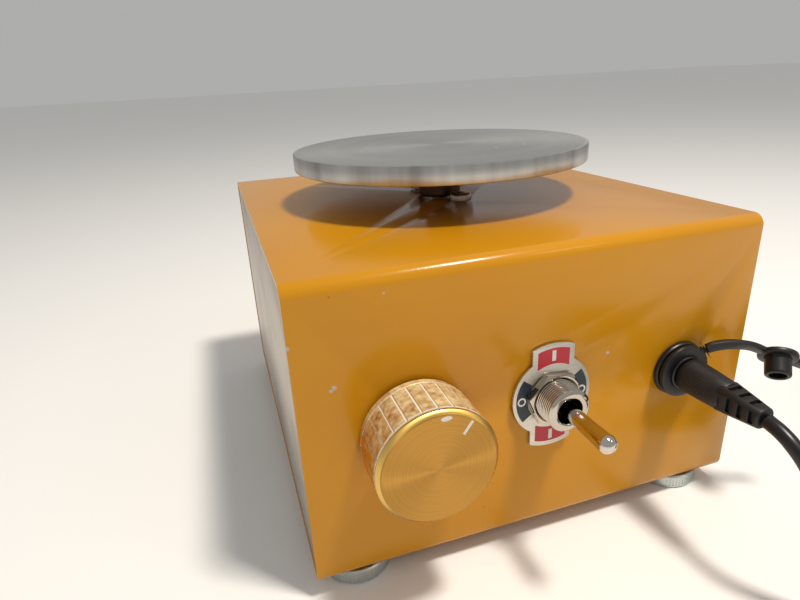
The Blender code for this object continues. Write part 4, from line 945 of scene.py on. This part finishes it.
def makeSwitch():
    x, z = toggle["centre"]
    base = onPanel(x, 0.3, z)
    plate = cutPlate("legend_sheet", [legendOutline(), arc(6.3, 0, 354, 59)], toggle["plateThick"], base,
                     0.08)
    settle(plate, "plate", "housing", "brushed_sheet", "legend_plate", smoothAngle=30)
    top = onPanel(x, 0.3 + toggle["plateThick"], z)
    ink = toggle["ink"]
    prints = [("legend_field_upper", [tabField(0)], "red"), ("legend_field_lower", [tabField(180)], "red"),
              ("legend_arc_left", [arc(10.7, 144, 216) + arc(7.4, 216, 144)], "ink"),
              ("legend_arc_right", [arc(10.7, -36, 36) + arc(7.4, 36, -36)], "ink")]
    for name, outlines, finish in prints:
        settle(cutPlate(name, outlines, ink, top), finish, "housing", "brushed_sheet")
    mark = top + Vector((0, -ink * mm, 0))
    bar = [(-0.55, -1.5), (0.55, -1.5), (0.55, 1.5), (-0.55, 1.5)]   # the plain "I" for on
    for name, up in (("legend_on_upper", 12.0), ("legend_on_lower", -12.0)):
        outline = [(a, b + up) for a, b in bar]
        settle(cutPlate(name, [outline], ink, mark), "white", "housing", "brushed_sheet")
    for name, side in (("legend_off_left", -1), ("legend_off_right", 1)):
        # "O" for off
        rings = [[(a + 9.1 * side, b) for a, b in arc(radius, 0, 345, 23)] for radius in (1.25, 0.8)]
        settle(cutPlate(name, rings, ink, mark), "white", "housing", "brushed_sheet")
    makeNut(x, z)
    makeBushing(x, z)
    makeLever(x, z)


def makeNut(x, z):
    low = 0.3 + toggle["plateThick"] + 0.3
    high = low + toggle["nutThick"]
    corner = toggle["nutAcross"] / 2 / math.cos(math.radians(30))
    nut = addRod(onPanel(x, (low + high) / 2, z), corner, toggle["nutThick"],
                 (math.radians(90), 0, 0), 6)
    nut.name = "hex_nut"
    nut.rotation_euler = (Matrix.Rotation(math.radians(30 - toggle["nutTurn"]), 3, "Y") @
                          Matrix.Rotation(math.radians(90), 3, "X")).to_euler()
    pick(nut)
    bpy.ops.object.transform_apply(location=True, rotation=True, scale=True)
    barrel = [(0, high), (corner - 1.0, high), (corner + 0.1, high - 0.65), (corner + 0.1, low + 0.65),
              (corner - 1.0, low), (0, low)]
    cutWith(nut, spinPiece("barrel", barrel, 96, onPanel(x, 0, z), facingOut), "INTERSECT")
    bore = [(0, high + 1), (6.7, high + 1), (6.7, high), (6.06, high - 0.6), (6.06, low - 1), (0, low - 1)]
    cutWith(nut, spinPiece("bore", bore, 72, onPanel(x, 0, z), facingOut))
    soften(nut, 0.14, 2, 25)
    settle(nut, "nickel", "housing", "nickel_plate", "switch_nut", smoothAngle=24)


def makeBushing(x, z):
    r, reach, pitch = toggle["bushing"], toggle["reach"], toggle["threadPitch"]
    profile = [(3.7, reach - 0.35), (3.95, reach - 0.08), (4.4, reach), (4.95, reach - 0.05),
               (5.4, reach - 0.25), (5.75, reach - 0.55)]
    height = reach - 0.75
    while height > 0.6:
        profile += [(r, height), (r, height - pitch * 0.2), (r - 0.4, height - pitch * 0.55),
                    (r - 0.4, height - pitch * 0.7)]
        height -= pitch
    profile += [(r - 0.3, -1.8), (8.0, -1.8), (8.0, -2.8), (2.6, -2.8), (2.6, 5.9), (3.7, reach - 1.2),
                (3.7, reach - 0.35)]
    bushing = spinPiece("threaded_bushing", profile, 96, onPanel(x, 0, z), facingOut)
    settle(bushing, "nickel", "housing", "nickel_plate", "switch_bushing", smoothAngle=38)


def makeLever(x, z):
    end = 2.4
    centre = toggle["leverReach"] - end - toggle["pivot"]
    profile = [(end * math.sin(math.radians(6 * i)), centre + end * math.cos(math.radians(6 * i)))
               for i in range(16)]
    profile += [(2.34, centre - 0.9), (2.28, centre - 2.2), (1.95, 5.0), (1.8, 3.2)]
    profile += [(2.45 * math.cos(math.radians(a)), 2.45 * math.sin(math.radians(a)))
                for a in range(40, -60, -8)]
    profile += [(1.2, -2.6), (1.2, -3.9), (0.9, -4.2), (0, -4.2)]
    lever = spinPiece("toggle_lever", profile, 64, onPanel(x, toggle["pivot"], z), facingOut)
    settle(lever, "lever", "lever", "nickel_plate", "switch_lever", smoothAngle=40)


makeSwitch()
print("switch made")


socket = {"centre": (43.0, 42.2), "flange": 8.2, "barrel": 5.0, "bore": 2.9}
cap = {
    "ring": [(5.15, 2.0), (5.15, 3.6), (7.3, 3.6), (7.75, 3.4), (7.9, 3.0), (7.9, 2.4), (7.7, 2.05),
             (7.4, 2.0), (5.15, 2.0)], "disc": [(0, 1.6), (2.2, 1.6), (2.2, 6.1), (2.4, 6.3), (3.0, 6.3),
                                                (3.3, 6.05), (3.4, 5.6), (3.4, 1.2), (3.5, 0.85),
                                                (4.8, 0.8), (5.1, 0.62), (5.2, 0.3), (5.2, -0.3),
                                                (5.1, -0.62), (4.8, -0.8), (0, -0.8)],
    "strap": [(48.3, 2.9, 47.1), (50.8, 3.9, 48.8), (54.5, 5.2, 49.4), (58.4, 6.2, 49.0), (62.4, 6.9, 47.9),
              (66.7, 7.5, 45.8)], "strapSteps": 5, "strapWide": 2.9, "strapThick": 1.4, "tabFrom": 4.0,
    "tabEnd": 16.6, "centre": (70.4, -83.6, 44.2), "axis": (-0.50, -0.57, -0.65)}


def makeSocket():
    x, z = socket["centre"]
    f, b, bore = socket["flange"], socket["barrel"], socket["bore"]
    profile = [(0, -7), (bore, -7), (bore, 4.0), (bore + 0.3, 4.3), (b - 0.3, 4.3), (b, 4.0), (b, 1.72),
               (f - 0.9, 1.72), (f - 0.35, 1.6), (f - 0.08, 1.3), (f, 0.9), (f, 0.4), (f - 0.1, 0.3),
               (5.5, 0.3), (5.5, -9), (4.8, -9), (4.8, -14), (0, -14)]
    piece = spinPiece("socket_flange", profile, 80, onPanel(x, 0, z), facingOut)
    settle(piece, "flange", "housing", "black_plastic", "jack_body")


def easedRoute(points, steps):
    # points between the given ones, on a curve that passes through them all
    ends = [points[0] * 2 - points[1], *points, points[-1] * 2 - points[-2]]
    route = []
    for before, here, after, beyond in zip(ends, ends[1:], ends[2:], ends[3:]):
        for step in range(steps):
            t = step / steps
            bend = (2 * before - 5 * here + 4 * after - beyond) * t ** 2
            route.append((2 * here + (after - before) * t + bend + (3 * here - before - 3 * after + beyond)
                          * t ** 3) / 2)
    return route + [points[-1]]


def makeStrap():
    # a strip drawn edge by edge along its bends, its face turning from the ring's to the cap's
    route = easedRoute([onPanel(*place) for place in cap["strap"]], cap["strapSteps"])
    axis = Vector(cap["axis"]).normalized()
    strip = drawLine("cap_strap", route)
    bpy.ops.object.mode_set(mode="OBJECT")
    centres = [corner.co.copy() for corner in strip.data.vertices]
    count = len(centres)
    pick(strip)
    bpy.ops.object.mode_set(mode="EDIT")
    bpy.ops.mesh.select_all(action="SELECT")
    # the second row goes a metre up, to tell the two apart
    bpy.ops.mesh.extrude_edges_move(TRANSFORM_OT_translate={"value": (0, 0, 1)})
    bpy.ops.object.mode_set(mode="OBJECT")
    for corner in strip.data.vertices:
        side = 1 if corner.co.z > 0.5 else -1
        centre = corner.co - Vector((0, 0, 1 if side == 1 else 0))
        i = min(range(count), key=lambda k: (centres[k] - centre).length)
        ahead = (centres[min(i + 1, count - 1)] - centres[max(i - 1, 0)]).normalized()
        facing = Vector((0, -1, 0)).lerp(axis, i / (count - 1))
        corner.co = centres[i] + ahead.cross(facing).normalized() * side * cap["strapWide"] / 2 * mm
    faceOutwards(strip)
    thick = strip.modifiers.new("thick", "SOLIDIFY")
    thick.thickness = cap["strapThick"] * mm
    thick.offset = 0.0
    soften(strip, 0.35, 3, 50)
    return strip


def makeDustCap():
    x, z = socket["centre"]
    ring = spinPiece("cap_ring", cap["ring"], 72, onPanel(x, 0, z), facingOut)
    strap = makeStrap()
    axis = Vector(cap["axis"]).normalized()
    across = (Vector((1, 0, 0)) - axis * axis.x).normalized()
    side = axis.cross(across)
    turn = Matrix((across, side, axis)).transposed()
    centre = at(*cap["centre"])
    disc = spinPiece("cap_disc", cap["disc"], 56, centre, turn.to_euler())
    start = cap["tabFrom"]
    reach = (housing["width"] / 2 + cap["tabEnd"] - cap["centre"][0] - 1.8 * abs(side.x)) / across.x - 0.2
    tab = addBox("cap_tab", centre + across * (start + reach) / 2 * mm, (reach - start, 3.6, 1.4))
    tab.rotation_euler = turn.to_euler()
    soften(tab, 0.45, 3, 50)
    whole = joined("rubber_dust_cap", ring, strap, disc, tab)
    settle(whole, "rubber", "cap", "black_rubber", "dust_cap", smoothAngle=40)


makeSocket()
makeDustCap()
print("socket and dust cap made")


# the CAD nodes that stay take a finish of their own

kept = {
    "screw": ["motor_can", "front_bearing", "rear_bearing", "motor_shaft", "armature_core", "hub_set_screw",
              "foot_screw_front_left", "foot_screw_front_right", "foot_screw_back_left",
              "foot_screw_back_right"], "nickel": ["knob_set_screw", "pot_shaft", "pot_nut", "jack_pin",
                                                   "jack_nut", "plug_sleeve", "adapter_blade_left",
                                                   "adapter_blade_right"],
    "nylon": ["motor_end_cap", "motor_fan", "pot_body", "board_capacitor"],
    "copper": ["armature_winding", "brush_terminal_left", "brush_terminal_right"],
    "ferrite": ["magnet_left", "magnet_right"], "brass": ["commutator"], "board": ["control_board"],
    "wireRed": ["jack_wire_positive", "motor_wire_positive"],
    "wireBlack": ["jack_wire_negative", "motor_wire_negative"], "blue": ["switch_case", "board_terminals"],
    "sheet": ["board_heatsink"]}
for finish, names in kept.items():
    for name in names:
        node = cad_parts[name]
        for holder in node.material_slots:
            holder.material = finishes[finish]
print("kept nodes finished")
